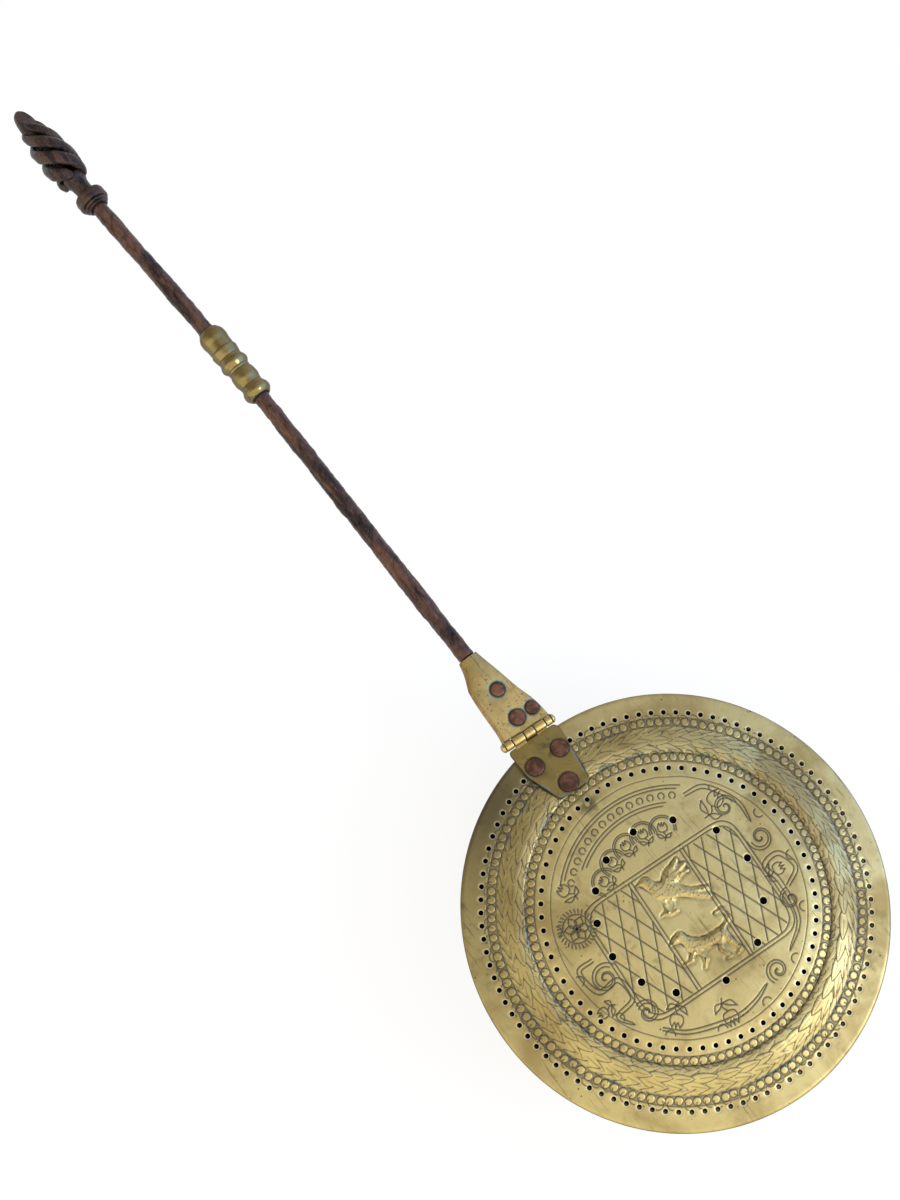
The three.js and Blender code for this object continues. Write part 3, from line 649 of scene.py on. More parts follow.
@dataclass(frozen=True)
class Brass(Finish):
    """Old brass: clean metal, brown tarnish in blotches, dark grooves, and blue-grey verdigris."""

    clean: Colour = (0.45, 0.37, 0.165)
    tarnish: Colour = (0.31, 0.235, 0.095)
    groove: Colour = (0.02, 0.016, 0.008)
    verdigris: Colour = (0.075, 0.105, 0.095)
    warm: Colour = (0.4, 0.19, 0.06)
    # the colour for the painted shade on the lid's darker sides, and for tarnish
    dull: Colour = (0.095, 0.08, 0.042)
    # a pale colour painted round the holes as a highlight
    painted_hole_highlight: Colour = (0.78, 0.74, 0.55)
    # rim is the share of painted shade, a dark reflection, laid near the outline
    rim: float = 0.55
    rough: float = 0.4

    def dress(self, graph: Graph, effects: Effects) -> None:
        """Adds the material's nodes."""
        place = graph.place()
        stain = effects.use(graph, effects.blotches, Vector=place, Scale=16.0, Low=0.45, High=0.65)
        fine = effects.use(graph, effects.blotches, Vector=place, Scale=90.0, Low=0.5, High=0.72)
        scratch = effects.use(graph, effects.scratches, Vector=place, Scale=26.0)
        speck = effects.use(graph, effects.specks, Vector=place, Scale=260.0, Size=0.22)
        groove, verdigris = graph.attribute("groove"), graph.attribute("verdigris")
        colour = graph.mix(stain.outputs["Mask"], self.clean, self.tarnish)
        for mask, share, other in ((fine.outputs["Mask"], 0.45, self.tarnish),
                                   (scratch.outputs["Mask"], 0.5, self.groove),
                                   (speck.outputs["Mask"], 0.7, self.groove),
                                   # this mask paints shade on two sides of the lid, together with tarnish
                                   (graph.attribute("dull"), 0.95, self.dull),
                                   (graph.attribute("warm"), 1.0, self.warm),
                                   # the rim mask lays the painted highlight round the holes
                                   (graph.attribute("rim"), 0.35, self.painted_hole_highlight),
                                   (verdigris, 1.0, self.verdigris), (groove, 1.0, self.groove),
                                   # the outline mask paints a dark reflection near the outline: painted shade
                                   (painted_outline_shade(graph), self.rim, self.groove)):
            colour = graph.tint(colour, mask, share, other)
        dirt = graph.math("MAXIMUM", groove, verdigris)
        rough = graph.math("MAXIMUM", graph.math("MULTIPLY", dirt, 0.62),
                           graph.ramp(stain.outputs["Cloud"], 0.25, 0.75, self.rough - 0.07, self.rough + 0.13))
        height = graph.math("ADD", graph.math("MULTIPLY", fine.outputs["Cloud"], 0.5),
                            graph.math("MULTIPLY", scratch.outputs["Mask"], -0.35))
        metal = graph.math("SUBTRACT", 1.0, graph.math("MULTIPLY", dirt, 0.75))
        self.coat(graph, height, 0.18, 0.0006, {"Base Color": colour, "Roughness": rough, "Metallic": metal})


@dataclass(frozen=True)
class Iron(Finish):
    """Wrought iron: blue-black scale where it is worn, and brown rust in long streaks with whorls."""

    black: Colour = (0.022, 0.019, 0.022)
    rust: Colour = (0.1, 0.042, 0.023)
    pale: Colour = (0.18, 0.09, 0.058)
    groove: Colour = (0.006, 0.004, 0.003)
    # rim is the colour of the painted shade near the outline
    rim: Colour = (0.012, 0.009, 0.008)

    def dress(self, graph: Graph, effects: Effects) -> None:
        """Adds the material's nodes. The rust and the grain are drawn out along the handle."""
        place = graph.place()
        along, far_along = (graph.add("ShaderNodeMapping", {"Vector": place, "Scale": (share, 1.0, 1.0)}).outputs[0]
                            for share in (0.22, 0.1))
        streaks = effects.use(graph, effects.blotches, Vector=along, Scale=95.0, Low=0.4, High=0.6)
        patches = effects.use(graph, effects.blotches, Vector=place, Scale=30.0, Low=0.42, High=0.62)
        grain = graph.noise(far_along, 620.0, 4.0, 0.6, 0.5)
        rusty = graph.math("MAXIMUM", streaks.outputs["Mask"], graph.math("MULTIPLY", patches.outputs["Mask"], 0.8))
        colour = graph.mix(rusty, self.black, self.rust)
        for mask, share, other in ((graph.ramp(grain, 0.52, 0.7), 0.55, self.pale),
                                   # the last mask paints the outline darker: painted shade
                                   (graph.attribute("groove"), 1.0, self.groove), (painted_outline_shade(graph), 0.8, self.rim)):
            colour = graph.tint(colour, mask, share, other)
        self.coat(graph, graph.math("ADD", grain, patches.outputs["Cloud"]), 0.7, 0.0018,
                  {"Base Color": colour, "Roughness": graph.ramp(patches.outputs["Cloud"], 0.3, 0.7, 0.17, 0.36),
                   "Metallic": graph.math("SUBTRACT", 0.9, graph.math("MULTIPLY", rusty, 0.55))})


@dataclass(frozen=True)
class Copper(Finish):
    """Old copper rivets: dark red-brown with worn patches, and black in the joint round the head."""

    worn: Colour = (0.17, 0.08, 0.052)
    dark: Colour = (0.07, 0.036, 0.025)
    groove: Colour = (0.015, 0.01, 0.006)

    def dress(self, graph: Graph, effects: Effects) -> None:
        """Adds the material's nodes."""
        stain = effects.use(graph, effects.blotches, Vector=graph.place(), Scale=120.0, Low=0.4, High=0.6)
        cloud = stain.outputs["Cloud"]
        colour = graph.mix(graph.attribute("groove"), graph.mix(stain.outputs["Mask"], self.worn, self.dark),
                           self.groove)
        self.coat(graph, cloud, 0.3, 0.0006,
                  {"Base Color": colour, "Roughness": graph.ramp(cloud, 0.3, 0.7, 0.38, 0.58), "Metallic": 0.85})


# ---------------------------------------------------------------- camera, floor and light


@dataclass(frozen=True)
class Studio:
    """The photograph's viewpoint, a white floor that keeps the shadow, and soft light."""

    eye: tuple[float, float, float] = (64.7, 206.5, 1209.7)
    right: tuple[float, float, float] = (-0.61168, -0.78999, 0.04198)
    up: tuple[float, float, float] = (0.77169, -0.58415, 0.25153)
    back: tuple[float, float, float] = (-0.17418, 0.18625, 0.96694)
    lens: float = 32.0

    def camera(self) -> None:
        """Makes the camera."""
        data = bpy.data.cameras.new("camera")
        data.sensor_fit, data.sensor_height, data.lens = "VERTICAL", 24.0, self.lens
        data.clip_start, data.clip_end = 0.05, 100.0
        obj = bpy.data.objects.new("camera", data)
        turn = Matrix((self.right, self.up, self.back)).transposed().to_4x4()
        obj.matrix_world = Matrix.Translation(Vector(self.eye) * MM) @ turn
        bpy.context.scene.collection.objects.link(obj)
        bpy.context.scene.camera = obj

    def floor(self) -> None:
        """Makes the floor: part of its white is its own light, and the rest is lit and so takes the shadow."""
        mesh = bpy.data.meshes.new("floor")
        reach, drop = 30.0, -0.0002
        mesh.from_pydata([(x * reach, y * reach, drop) for x, y in ((-1, -1), (1, -1), (1, 1), (-1, 1))], [],
                         [(0, 1, 2, 3)])
        obj = bpy.data.objects.new("floor", mesh)
        bpy.context.scene.collection.objects.link(obj)
        material = bpy.data.materials.new("floor_white")
        material.use_nodes = True
        graph = Graph(material.node_tree)
        path = graph.add("ShaderNodeLightPath")
        seen = graph.math("MAXIMUM", path.outputs["Is Camera Ray"],
                          graph.math("MAXIMUM", path.outputs["Is Glossy Ray"], path.outputs["Is Transmission Ray"]))
        lit = graph.add("ShaderNodeBsdfDiffuse", {"Color": (0.9, 0.9, 0.9)})
        glow = graph.add("ShaderNodeEmission", {"Color": (1.0, 1.0, 1.0), "Strength": seen})
        graph.end(graph.add("ShaderNodeMixShader", {0: 0.86, 1: lit.outputs[0], 2: glow.outputs[0]}))
        mesh.materials.append(material)

    def lamp(self) -> None:
        """Makes a faint square lamp that faces the middle of the lid."""
        data = bpy.data.lights.new("window", "AREA")
        data.size, data.energy = 0.7, 14.0
        obj = bpy.data.objects.new("window", data)
        obj.location = (-1.3, -0.9, 1.5)
        obj.rotation_euler = (obj.location - Vector((0.0, 0.0, 0.1))).to_track_quat("Z", "Y").to_euler()
        bpy.context.scene.collection.objects.link(obj)

    def light(self) -> None:
        """Makes a soft sky, brighter and cooler to the picture's right and warm below it, and the lamp."""
        world = bpy.data.worlds.new("sky")
        bpy.context.scene.world = world
        world.use_nodes = True
        graph = Graph(world.node_tree)
        way = graph.add("ShaderNodeTexCoord").outputs["Generated"]
        across, upward = (graph.add("ShaderNodeVectorMath", {0: way, 1: toward}, operation="DOT_PRODUCT").outputs[1]
                          for toward in ((-0.612, -0.79, 0.0), (0.797, -0.603, 0.0)))
        colour = graph.mix(graph.ramp(across, -0.36, 0.16), (0.56, 0.5, 0.4), (1.04, 1.0, 0.93))
        colour = graph.mix(graph.ramp(across, 0.14, 0.62), colour, (1.14, 1.72, 3.1))
        colour = graph.mix(graph.ramp(upward, -0.45, 0.12, 1.0, 0.0), colour, (1.72, 1.6, 1.28))
        colour = graph.mix(graph.ramp(upward, 0.1, 0.7, 0.0, 0.5), colour, (0.62, 0.6, 0.56))
        graph.end(graph.add("ShaderNodeBackground", {"Color": colour, "Strength": 1.0}), "ShaderNodeOutputWorld")
        self.lamp()
        bpy.context.scene.view_settings.view_transform = "Standard"


# ---------------------------------------------------------------- lid

LID_ORIGIN = (-2.0, 0.0, 90.6)


@dataclass(frozen=True)
class Hinge:
    """The hinge's own directions in the lid's frame: u runs from the pin towards the handle, v along the pin."""

    x: float = 157.0
    y: float = 7.6
    pin_z: float = 6.192
    skew: float = math.radians(4.8)

    def to_lid(self, u: Array, v: Array) -> tuple[Array, Array]:
        """A point given as (u, v), in the lid's frame."""
        c, s = math.cos(self.skew), math.sin(self.skew)
        return self.x + u * c + v * s, self.y - u * s + v * c

    def outline(self, rows: Array) -> Array:
        """An outline given as (u, v) rows, in the lid's frame."""
        return np.column_stack(self.to_lid(*rows.T))

    def from_lid(self, x: Array, y: Array) -> tuple[Array, Array]:
        """A point of the lid's frame, as (u, v)."""
        c, s = math.cos(self.skew), math.sin(self.skew)
        return (x - self.x) * c - (y - self.y) * s, (x - self.x) * s + (y - self.y) * c


HINGE = Hinge()
LEAF_OUTLINE = ((-3.8, 17.9), (-6.4, 19.4), (-25.3, 17.8), (-49.3, 8.4), (-51.3, 5.9), (-51.3, -12.4),
                (-48.6, -17.8), (-8.1, -21.9), (-3.8, -19.4))


@dataclass
class Relief:
    """What the punches and the graver did to the lid: a height and the masks at each point."""

    x: Array
    y: Array
    height: Array = field(init=False)
    groove: Array = field(init=False)
    verdigris: Array = field(init=False)
    # painted shade on two sides of the lid, with tarnish in blotches
    dull: Array = field(init=False)

    def __post_init__(self) -> None:
        """Starts flat and clean."""
        self.height, self.groove, self.verdigris, self.dull = (np.zeros(self.x.shape) for _ in range(4))

    def soil(self, dirt: Array, where: Optional[Array] = None) -> None:
        """Fills the cuts with dirt, at the chosen points or at all of them."""
        chosen = slice(None) if where is None else where
        self.groove[chosen] = np.maximum(self.groove[chosen], dirt)

    def carve(self, distance: Array, width: float = 0.4, depth: float = 0.22, dark: float = 0.8,
              where: Optional[Array] = None) -> None:
        """Cuts a line where distance is 0, as a bell curve of that width.

        Args:
            distance: how far each point is from the line.
            width: the line's width.
            depth: how deep it goes.
            dark: how much dirt it holds, from 0 to 1.
            where: the points that distance belongs to, or all.
        """
        line = gauss(distance, width)
        self.height[slice(None) if where is None else where] -= depth * line
        self.soil(dark * line, where)

    def draw(self, lines: Sequence[Array], width: float = 0.36, depth: float = 0.2, dark: float = 0.8) -> None:
        """Cuts polylines given in the field's own directions."""
        p, q = Field.to_picture(self.x, self.y)
        for line in lines:
            line = np.asarray(line, float)
            (low_p, low_q), (high_p, high_q) = line.min(0) - 1.6, line.max(0) + 1.6
            near = np.nonzero((p > low_p) & (p < high_p) & (q > low_q) & (q < high_q))[0]
            if len(near):
                self.carve(distance_to_line(p[near], q[near], line), width, depth, dark, near)


def limbs(x: Array, y: Array, bones: Sequence[Sequence[float]], soft: float = 0.7) -> Array:
    """Distance outside a figure of tapering limbs that run into one another softly.

    Args:
        x: first coordinate.
        y: second coordinate.
        bones: (x, y, radius) of one end and of the other end, for each limb.
        soft: how softly the limbs join.

    Returns:
        The distance, which is below 0 inside.
    """
    total = np.zeros(x.shape)
    for ax, ay, ar, bx, by, br in bones:
        dx, dy = bx - ax, by - ay
        t = np.clip(((x - ax) * dx + (y - ay) * dy) / (dx * dx + dy * dy + 1e-9), 0, 1)
        reach = np.hypot(x - ax - t * dx, y - ay - t * dy) - (ar + (br - ar) * t)
        total += np.exp(-np.clip(reach, -6, 12) / soft)
    return -soft * np.log(total + 1e-9)


@dataclass
class Field:
    """The engraved and embossed middle of the lid, a design of common ornament.

    p runs to the right and q upwards as the photograph shows the lid. A tilted panel with round corners holds
    two trellised bands and, between them, an embossed bird and an embossed hound. Arcs, scallops, scrolls, tulips
    and a rosette fill the space round it.
    """

    radius: float = 89.0
    tilt: float = math.radians(33)
    centre: tuple[float, float] = (7.0, -9.0)
    half: tuple[float, float] = (63.0, 45.0)

    @staticmethod
    def to_picture(x: Array, y: Array) -> tuple[Array, Array]:
        """A point of the lid's frame, as (p, q)."""
        return -0.612 * x - 0.790 * y, 0.790 * x - 0.612 * y

    def on_panel(self, m: Array, n: Array) -> Array:
        """A point given in the panel's own directions, as (p, q) rows."""
        c, s = math.cos(self.tilt), math.sin(self.tilt)
        m, n = np.asarray(m, float), np.asarray(n, float)
        return np.stack([self.centre[0] + m * c - n * s, self.centre[1] + m * s + n * c], axis=-1)

    @staticmethod
    def arc(centre: tuple[float, float], radius: float, start: float, end: float, steps: int = 20) -> Array:
        """An arc between two angles in degrees."""
        a = np.radians(np.linspace(start, end, steps))
        return np.stack([centre[0] + radius * np.cos(a), centre[1] + radius * np.sin(a)], axis=-1)

    @staticmethod
    def spiral(centre: tuple[float, float], radius: float, start: float, turns: float, steps: int = 40) -> Array:
        """A spiral that opens from its centre: radius grows as share to the power 0.8."""
        share = np.linspace(0.04, 1, steps)
        a = math.radians(start) + TAU * turns * (1 - share)
        reach = radius * share ** 0.8
        return np.stack([centre[0] + reach * np.cos(a), centre[1] + reach * np.sin(a)], axis=-1)

    @staticmethod
    def wave(points: Sequence[tuple[float, float]], steps: int = 8) -> Array:
        """A smooth curve through points: Catmull-Rom pieces."""
        c = np.array(points, float)
        c = np.concatenate([[2 * c[0] - c[1]], c, [2 * c[-1] - c[-2]]])
        t = np.linspace(0, 1, steps, endpoint=False)[:, None]
        pieces = [0.5 * (2 * c[i] + (c[i + 1] - c[i - 1]) * t
                         + (2 * c[i - 1] - 5 * c[i] + 4 * c[i + 1] - c[i + 2]) * t * t
                         + (3 * c[i] - c[i - 1] - 3 * c[i + 1] + c[i + 2]) * t ** 3)
                  for i in range(1, len(c) - 2)]
        return np.concatenate(pieces + [c[-2:-1]])

    @classmethod
    def ribbon(cls, points: Sequence[tuple[float, float]], width: float) -> list[Array]:
        """Two lines that run beside a curve and meet at its ends."""
        path = cls.wave(points)
        tangent = unit(np.gradient(path, axis=0))
        normal = np.stack([-tangent[:, 1], tangent[:, 0]], axis=-1)
        swell = np.sin(np.linspace(0.12, 1, len(path)) * math.pi)[:, None] ** 0.35 * width / 2
        return [path + normal * swell, path - normal * swell]

    def panel(self) -> list[Array]:
        """The panel's double border, its two dividing bars and the trellises."""
        w, h = self.half
        border, bar, corner, pitch, rise = 2.6, 23.0, 15.0, 26.0, 84.0
        lines = []
        for inset in (0.0, border):
            signs = ((-1, -1), (1, -1), (1, 1), (-1, 1))
            ring = rounded_outline([(a * (w - inset), b * (h - inset)) for a, b in signs], corner, 3.0)
            lines.append(self.on_panel(*np.concatenate([ring, ring[:1]]).T))
        for m in (-bar, border - bar, bar - border, bar):
            lines.append(self.on_panel([m, m], [border - h, h - border]))
        inner = corner + border
        for low, high in ((border - w, -bar), (bar, w - border)):
            share = np.linspace(0, 1, 60)
            m = low + (high - low) * share
            for start in np.arange(-h - 4 * pitch, h + 4 * pitch, pitch):
                for slope in (rise, -rise):
                    n = start + slope * share
                    beyond = np.hypot(*(np.clip(np.abs(a) - half + inner, 0, None) for a, half in ((m, w), (n, h))))
                    kept = np.nonzero((np.abs(n) < h - 3.2) & (beyond < corner + 0.2))[0]
                    if len(kept) > 2:
                        lines.append(self.on_panel(m[kept[[0, -1]]], n[kept[[0, -1]]]))
        return lines

    def rosette(self, centre: tuple[float, float], radius: float) -> list[Array]:
        """A six-petalled flower in two rings, with dashes round it."""
        def at(share: float, degrees: float) -> Array:
            """A point at a share of the radius."""
            return np.add(centre, polar(radius * share, degrees))

        lines = [self.arc(centre, radius * share, 0, 360, 26) for share in (0.2, 0.78)]
        for a in range(12, 372, 60):
            lines += [self.wave([centre, at(0.42, a + side), at(0.7, a)], 5) for side in (-34, 34)]
        return lines + [np.array([at(0.88, a), at(1.06, a + math.degrees(0.05))]) for a in range(0, 360, 12)]

    def tulip(self, foot: tuple[float, float], angle: float, size: float) -> list[Array]:
        """A tulip head on a short stem with two leaves."""
        c, s = polar(1, angle)
        shapes = [[(0, 0), (0.2, 0.5), (0, 0.9)], [(0.1, 0.3), (-0.5, 0.35), (-0.75, 0.85)],
                  [(0.1, 0.3), (-0.25, 0.6), (-0.75, 0.85)], [(0.12, 0.3), (0.6, 0.25), (0.85, 0.7)],
                  [(0.12, 0.3), (0.4, 0.55), (0.85, 0.7)]]
        for side in (-1, 1):
            shapes += [[(0, 0.9), (0.42 * side, 1.05), (0.5 * side, 1.5), (0.3 * side, 1.9)],
                       [(0.3 * side, 1.9), (0.12 * side, 1.55), (0, 1.95)]]
        return [self.wave([(foot[0] + size * (x * s + y * c), foot[1] + size * (-x * c + y * s)) for x, y in shape], 6)
                for shape in shapes]

    def surround(self) -> list[Array]:
        """Everything that is engraved round the panel."""
        lines = [self.arc((0, 0), *curve) for curve in ((83, 88, 171), (80.6, 90, 168), (71, 96, 160), (68.6, 98, 158))]
        for a in 101 + 15.5 * np.arange(5):
            lines += [self.arc(polar(53, a), reach, a - 105, a + 105, 16) for reach in (9.6, 8.2)]
            lines += self.tulip(polar(45, a), a, 6.5)
        lines += [self.arc(polar(75.8, a), 2.3, a - 150, a + 150, 8) for a in 92 + 5.9 * np.arange(14)]
        lines += self.rosette((-71.0, -16.0), 12.5)
        for centre, radius, start, turns in (((58, 47), 10, 200, 1.5), ((34, 68), 9, 20, 1.4),
                                             ((-52, -49), 11, 60, 1.6), ((77, 5), 8, 110, 1.3), ((-24, -71), 9, 150, -1.5),
                                             ((66, -43), 9, 250, -1.4)):
            lines += [self.spiral(centre, radius, start, turns), self.spiral(centre, radius * 0.74, start + 12, turns)]
        for width, points in ((3.2, [(76, 14), (82, 27), (70, 36), (60, 27), (70, 17), (82, -8), (75, -30)]),
                              (3.2, [(-61, -37), (-70, -45), (-57, -58), (-44, -50), (-34, -62), (-44, -74),
                                     (-33, -79)]),
                              (3.0, [(6, 76), (18, 82), (30, 79), (44, 71), (52, 58)]),
                              (2.8, [(-14, -82), (2, -84), (20, -80), (38, -73), (50, -63), (58, -52)])):
            lines += self.ribbon(points, width)
        for foot, angle, size in (((-3, -64), 262, 9), ((20, 60), 60, 11), ((-70, 4), 150, 8), ((26, -62), -62, 10),
                                  ((60, 20), 30, 8), ((-46, -66), 215, 7)):
            lines += self.tulip(foot, angle, size)
        return lines + [self.arc(polar(86.5, a), 3.4, a + 95, a + 265, 8)
                        for a in range(0, 360, 24) if not 85 < a < 175]

    def figures(self) -> list[tuple[list[list[float]], tuple[float, float], float, float]]:
        """The embossed bird and hound: limbs, place on the panel, turn in degrees and size."""
        bird = [[0, 0, 4.4, 5, 1.8, 3.7], [5, 1.8, 3.4, 9, 6.4, 2.1], [9, 6.4, 2.2, 9.8, 8.2, 2.4],
                [11.4, 8.5, 1.1, 15, 7.8, .25],
                [-3, -.8, 3.2, -9, -4.2, 1.9], [-9, -4.4, 1.7, -17, -8.4, 1.6], [-9, -3.6, 1.6, -18, -4.6, 1.3],
                [1.5, 2.2, 2.8, -2.5, 7.2, 3.0], [-2.5, 7.4, 2.6, -8.6, 13.2, 1.0], [-3.5, 6.6, 2.4, -11.6, 10, 1.0],
                [-3, 5.4, 2.2, -12, 6.4, .9], [1.5, -4, 1.0, .6, -9.4, .6], [.6, -9.4, .6, 4, -10.2, .45],
                [4.6, -3.2, 1.0, 5, -8.8, .6], [5, -8.8, .6, 8.4, -9.4, .45]]
        hound = [[-9, .6, 3.6, 0, -.4, 2.9], [0, -.4, 3.0, 8, 1, 4.0], [9, 2.4, 3.0, 13, 7.4, 2.1],
                 [13, 7.8, 2.5, 15.5, 7.3, 1.8],
                 [15.5, 7.2, 1.7, 19.6, 5.6, .9], [12.2, 9.2, 1.2, 9.6, 5.4, 1.0], [-11, .4, 2.6, -13, -5, 1.6],
                 [-13, -5, 1.4, -16.5, -10.5, .9], [-16.5, -10.5, .9, -13.6, -12.6, .7], [-8, -2, 2.3, -6.4, -7.2, 1.3],
                 [-6.4, -7.2, 1.2, -9.6, -12.4, .8], [-9.6, -12.4, .8, -6.8, -13.2, .6], [8, -1.6, 2.0, 12, -6.4, 1.1],
                 [12, -6.4, 1.0, 16.6, -7, .8], [5.6, -2, 1.9, 4.2, -8.4, 1.1], [4.2, -8.4, 1.0, 6.8, -13, .7],
                 [-12, 3, 1.3, -17.4, 7, 1.0], [-17.4, 7, 1.0, -15.6, 12.8, .9], [-15.6, 12.8, .9, -11, 12.2, .8]]
        return [(bird, (-1.0, 22.5), 178.0, 1.42), (hound, (0.5, -18.5), 180.0, 1.22)]

    def press(self, relief: Relief) -> None:
        """Embosses the figures and engraves every line."""
        relief.draw(self.panel() + self.surround(), 0.56, 0.22, 1.0)
        p, q = self.to_picture(relief.x, relief.y)
        for bones, place, turn, size in self.figures():
            at = self.on_panel(*place)
            a = math.radians(turn - 180) + self.tilt - math.radians(10)
            dx, dy = (p - at[0]) / size, (q - at[1]) / size
            near = np.nonzero(np.hypot(dx, dy) < 26)[0]
            if not len(near):
                continue
            fx = -(dx[near] * math.cos(a) + dy[near] * math.sin(a))
            fy = -dx[near] * math.sin(a) + dy[near] * math.cos(a)
            reach = limbs(fx, fy, bones) * size
            reach += 0.3 * value_noise(fx, fy, 1.3, 31)
            relief.height[near] += 1.15 * ease(-reach, -0.5, 2.6) - 0.25 * gauss(reach - 0.7, 0.8)
            edge = np.clip(0.55 + 0.9 * value_noise(fx, fy, 3.0, 7), 0.12, 1)
            hatch = gauss((fx * 0.75 + fy + 1.2 * np.sin(fx * 0.6)) % 2.7 - 1.35, 0.2) * ease(-reach, 1.0, 1.6)
            specks = ease(value_noise(fx, fy, 1.1, 53), 0.5, 0.62) * (reach < -0.8)
            relief.soil(most(edge * gauss(reach - 0.2, 0.55), 0.75 * hatch * (value_noise(fx, fy, 2.1, 8) > -0.2),
                             0.75 * specks), near)


@dataclass
class Lid:
    """The domed lid: a turned-down edge, a flange, two rings of beads, a wreath of leaves and a pictured field."""

    cell: float = 0.42
    sheet: float = 1.2
    profile: tuple[tuple[float, float], ...] = (
        (0, 13.15), (30, 12.85), (60, 11.9), (80, 11.0), (89, 10.6), (95.2, 9.9), (101, 9.2), (105.5, 8.5),
        (108.5, 8.9),
        (112, 8.9), (117, 7.6), (123, 5.3), (126, 4.4), (130, 3.7), (136, 3.0), (146, 2.2), (151, 1.8))
    holes: tuple[tuple[float, int, float], ...] = ((136.0, 96, 1.75), (95.2, 66, 1.75))
    large_ring: float = 58.4
    large_radius: float = 2.6
    large_angles: tuple[float, ...] = (-153, -124.5, -94, -66, -35.3, -6.3, 20.8, 42.9, 64.5, 88.6, 113.9, 138, 173.3)
    wreath: float = 114.5
    ring_end: float = 139.5
    flat_top: float = 14.15
    field_of: Field = field(default_factory=Field)

    def hole_list(self) -> Array:
        """(x, y, radius) of every hole that the hinge leaf doesn't cover."""
        rows = [(self.large_ring, math.radians(a), self.large_radius) for a in self.large_angles]
        for ring, count, radius in self.holes:
            rows += [(ring, (i + 0.5) * TAU / count, radius) for i in range(count)]
        found = np.array([(r * math.cos(a), r * math.sin(a), radius) for r, a, radius in rows])
        return found[~self.under_leaf(found[:, 0], found[:, 1], 1.5)]

    @staticmethod
    def leaf_cover(x: Array, y: Array) -> Array:
        """Distance from each point to the hinge leaf's outline, below 0 inside it."""
        u, v = HINGE.from_lid(x, y)
        outline = np.array(LEAF_OUTLINE)
        away = distance_to_line(u, v, np.concatenate([outline, outline[:1]]))
        inside = np.zeros(x.shape, bool)
        for (ax, ay), (bx, by) in zip(outline, np.roll(outline, -1, 0)):
            crosses = (ay > v) != (by > v)
            inside ^= crosses & (u < ax + (v - ay) * (bx - ax) / (by - ay if by != ay else 1e-9))
        return np.where(inside, -away, away)

    def under_leaf(self, x: Array, y: Array, margin: float) -> Array:
        """Whether each point is under the hinge leaf or within a margin of it."""
        return self.leaf_cover(x, y) < margin

    def beads(self, relief: Relief, r: Array, a: Array, count: int, ring: float, radius: float, jitter: float,
              seed: int) -> None:
        """Punches a ring of round beads: each is a flattened dome with a cut line round it.

        Args:
            relief: what to change.
            r: distance of each point from the middle.
            a: its angle.
            count: how many beads.
            ring: radius of the ring.
            radius: radius of a bead.
            jitter: how far the beads stray.
            seed: picks how they stray.
        """
        rng = np.random.default_rng(seed)
        stray = rng.normal(0, jitter, (2, count))
        size, tall = radius * rng.uniform(0.86, 1.05, count), rng.uniform(0.34, 0.52, count)
        i = np.round(a / TAU * count).astype(int) % count
        along = ((a - i * TAU / count + math.pi) % TAU - math.pi) * ring - stray[0, i]
        out = r - ring - stray[1, i]
        reach = np.hypot(along, out) / size[i]
        dome = np.minimum(1.3 * np.sqrt(np.clip(1 - reach ** 2, 0, None)), 1)
        belt = gauss(np.clip(np.abs(out) - radius, 0, None), 0.5)
        relief.height += tall[i] * dome - 0.12 * belt
        relief.carve((reach - 1) * radius, 0.45, 0.2, 1.0)
        relief.soil(0.5 * ease(reach, 1.02, 1.2) * belt)
        loops = np.hypot(along + stray[0, i] * 5 - 1.6, out - 1.5 - stray[1, i] * 3) - radius * 1.15
        relief.carve(loops + 30 * (out < 0.2), 0.42, 0.12, 0.95)

    def leaves(self, relief: Relief, r: Array, a: Array) -> None:
        """Punches the wreath: three rows of pointed leaves that run both ways from the hinge, each over the next.

        A leaf of length 1 has half width 2.43 sqrt(t) (1 - t)^0.85 of its widest, and rises towards its tip.
        """
        turn = (a + math.pi) % TAU - math.pi
        s = np.abs(turn) * self.wreath
        side = (turn > 0).astype(int)
        best, edge, rib = (np.full(r.shape, value) for value in (-0.3, 9.0, 9.0))
        pitch, width = 14.4, 3.7
        for row, (ring, lean, start, length) in enumerate(((110.0, -0.2, 4.5, 20.0), (119.2, 0.2, 9.0, 20.0),
                                                           (114.6, 0.0, 0.0, 19.0))):
            rng = np.random.default_rng(70 + row)
            stray = rng.normal(0, 0.45, (3, 2, 64))
            first = np.floor((s - start) / pitch).astype(int)
            for back in (1, 0):
                k = first - back
                pick = np.clip(k, 0, 63)
                t = (s - start - k * pitch - 2 * stray[0, side, pick]) / (length + 2 * stray[1, side, pick])
                across = r - ring - stray[2, side, pick] * 0.7 - lean * (t - 0.3) * length
                safe = np.clip(t, 0, 1)
                half = width * 2.43 * np.sqrt(safe) * (1 - safe) ** 0.85
                room = half - np.abs(across)
                bulge = np.sqrt(np.clip(1 - (across / np.maximum(half, 0.05)) ** 2, 0, 1))
                rise = 0.1 + 0.6 * t + 0.25 * bulge + 0.1 * (row == 2)
                wins = (room > 0) & (t > 0) & (t < 1) & (rise > best)
                best = np.where(wins, rise, best)
                edge = np.where(wins, room, edge)
                rib = np.where(wins & (t > 0.3) & (t < 0.82), np.abs(across), np.where(wins, 9.0, rib))
        belt = ease(r, 105.6, 107.4) * (1 - ease(r, 121.2, 123.0))
        shown = belt * (1 - gauss(turn, 0.02)) * (1 - 0.4 * gauss(np.abs(turn) - math.pi, 0.02))
        relief.height += shown * (0.62 * np.maximum(best, 0) - 0.2 * gauss(edge, 0.5))
        relief.soil(shown * most(gauss(edge, 0.62), 0.6 * gauss(rib, 0.36), 0.35 * (best < 0)))

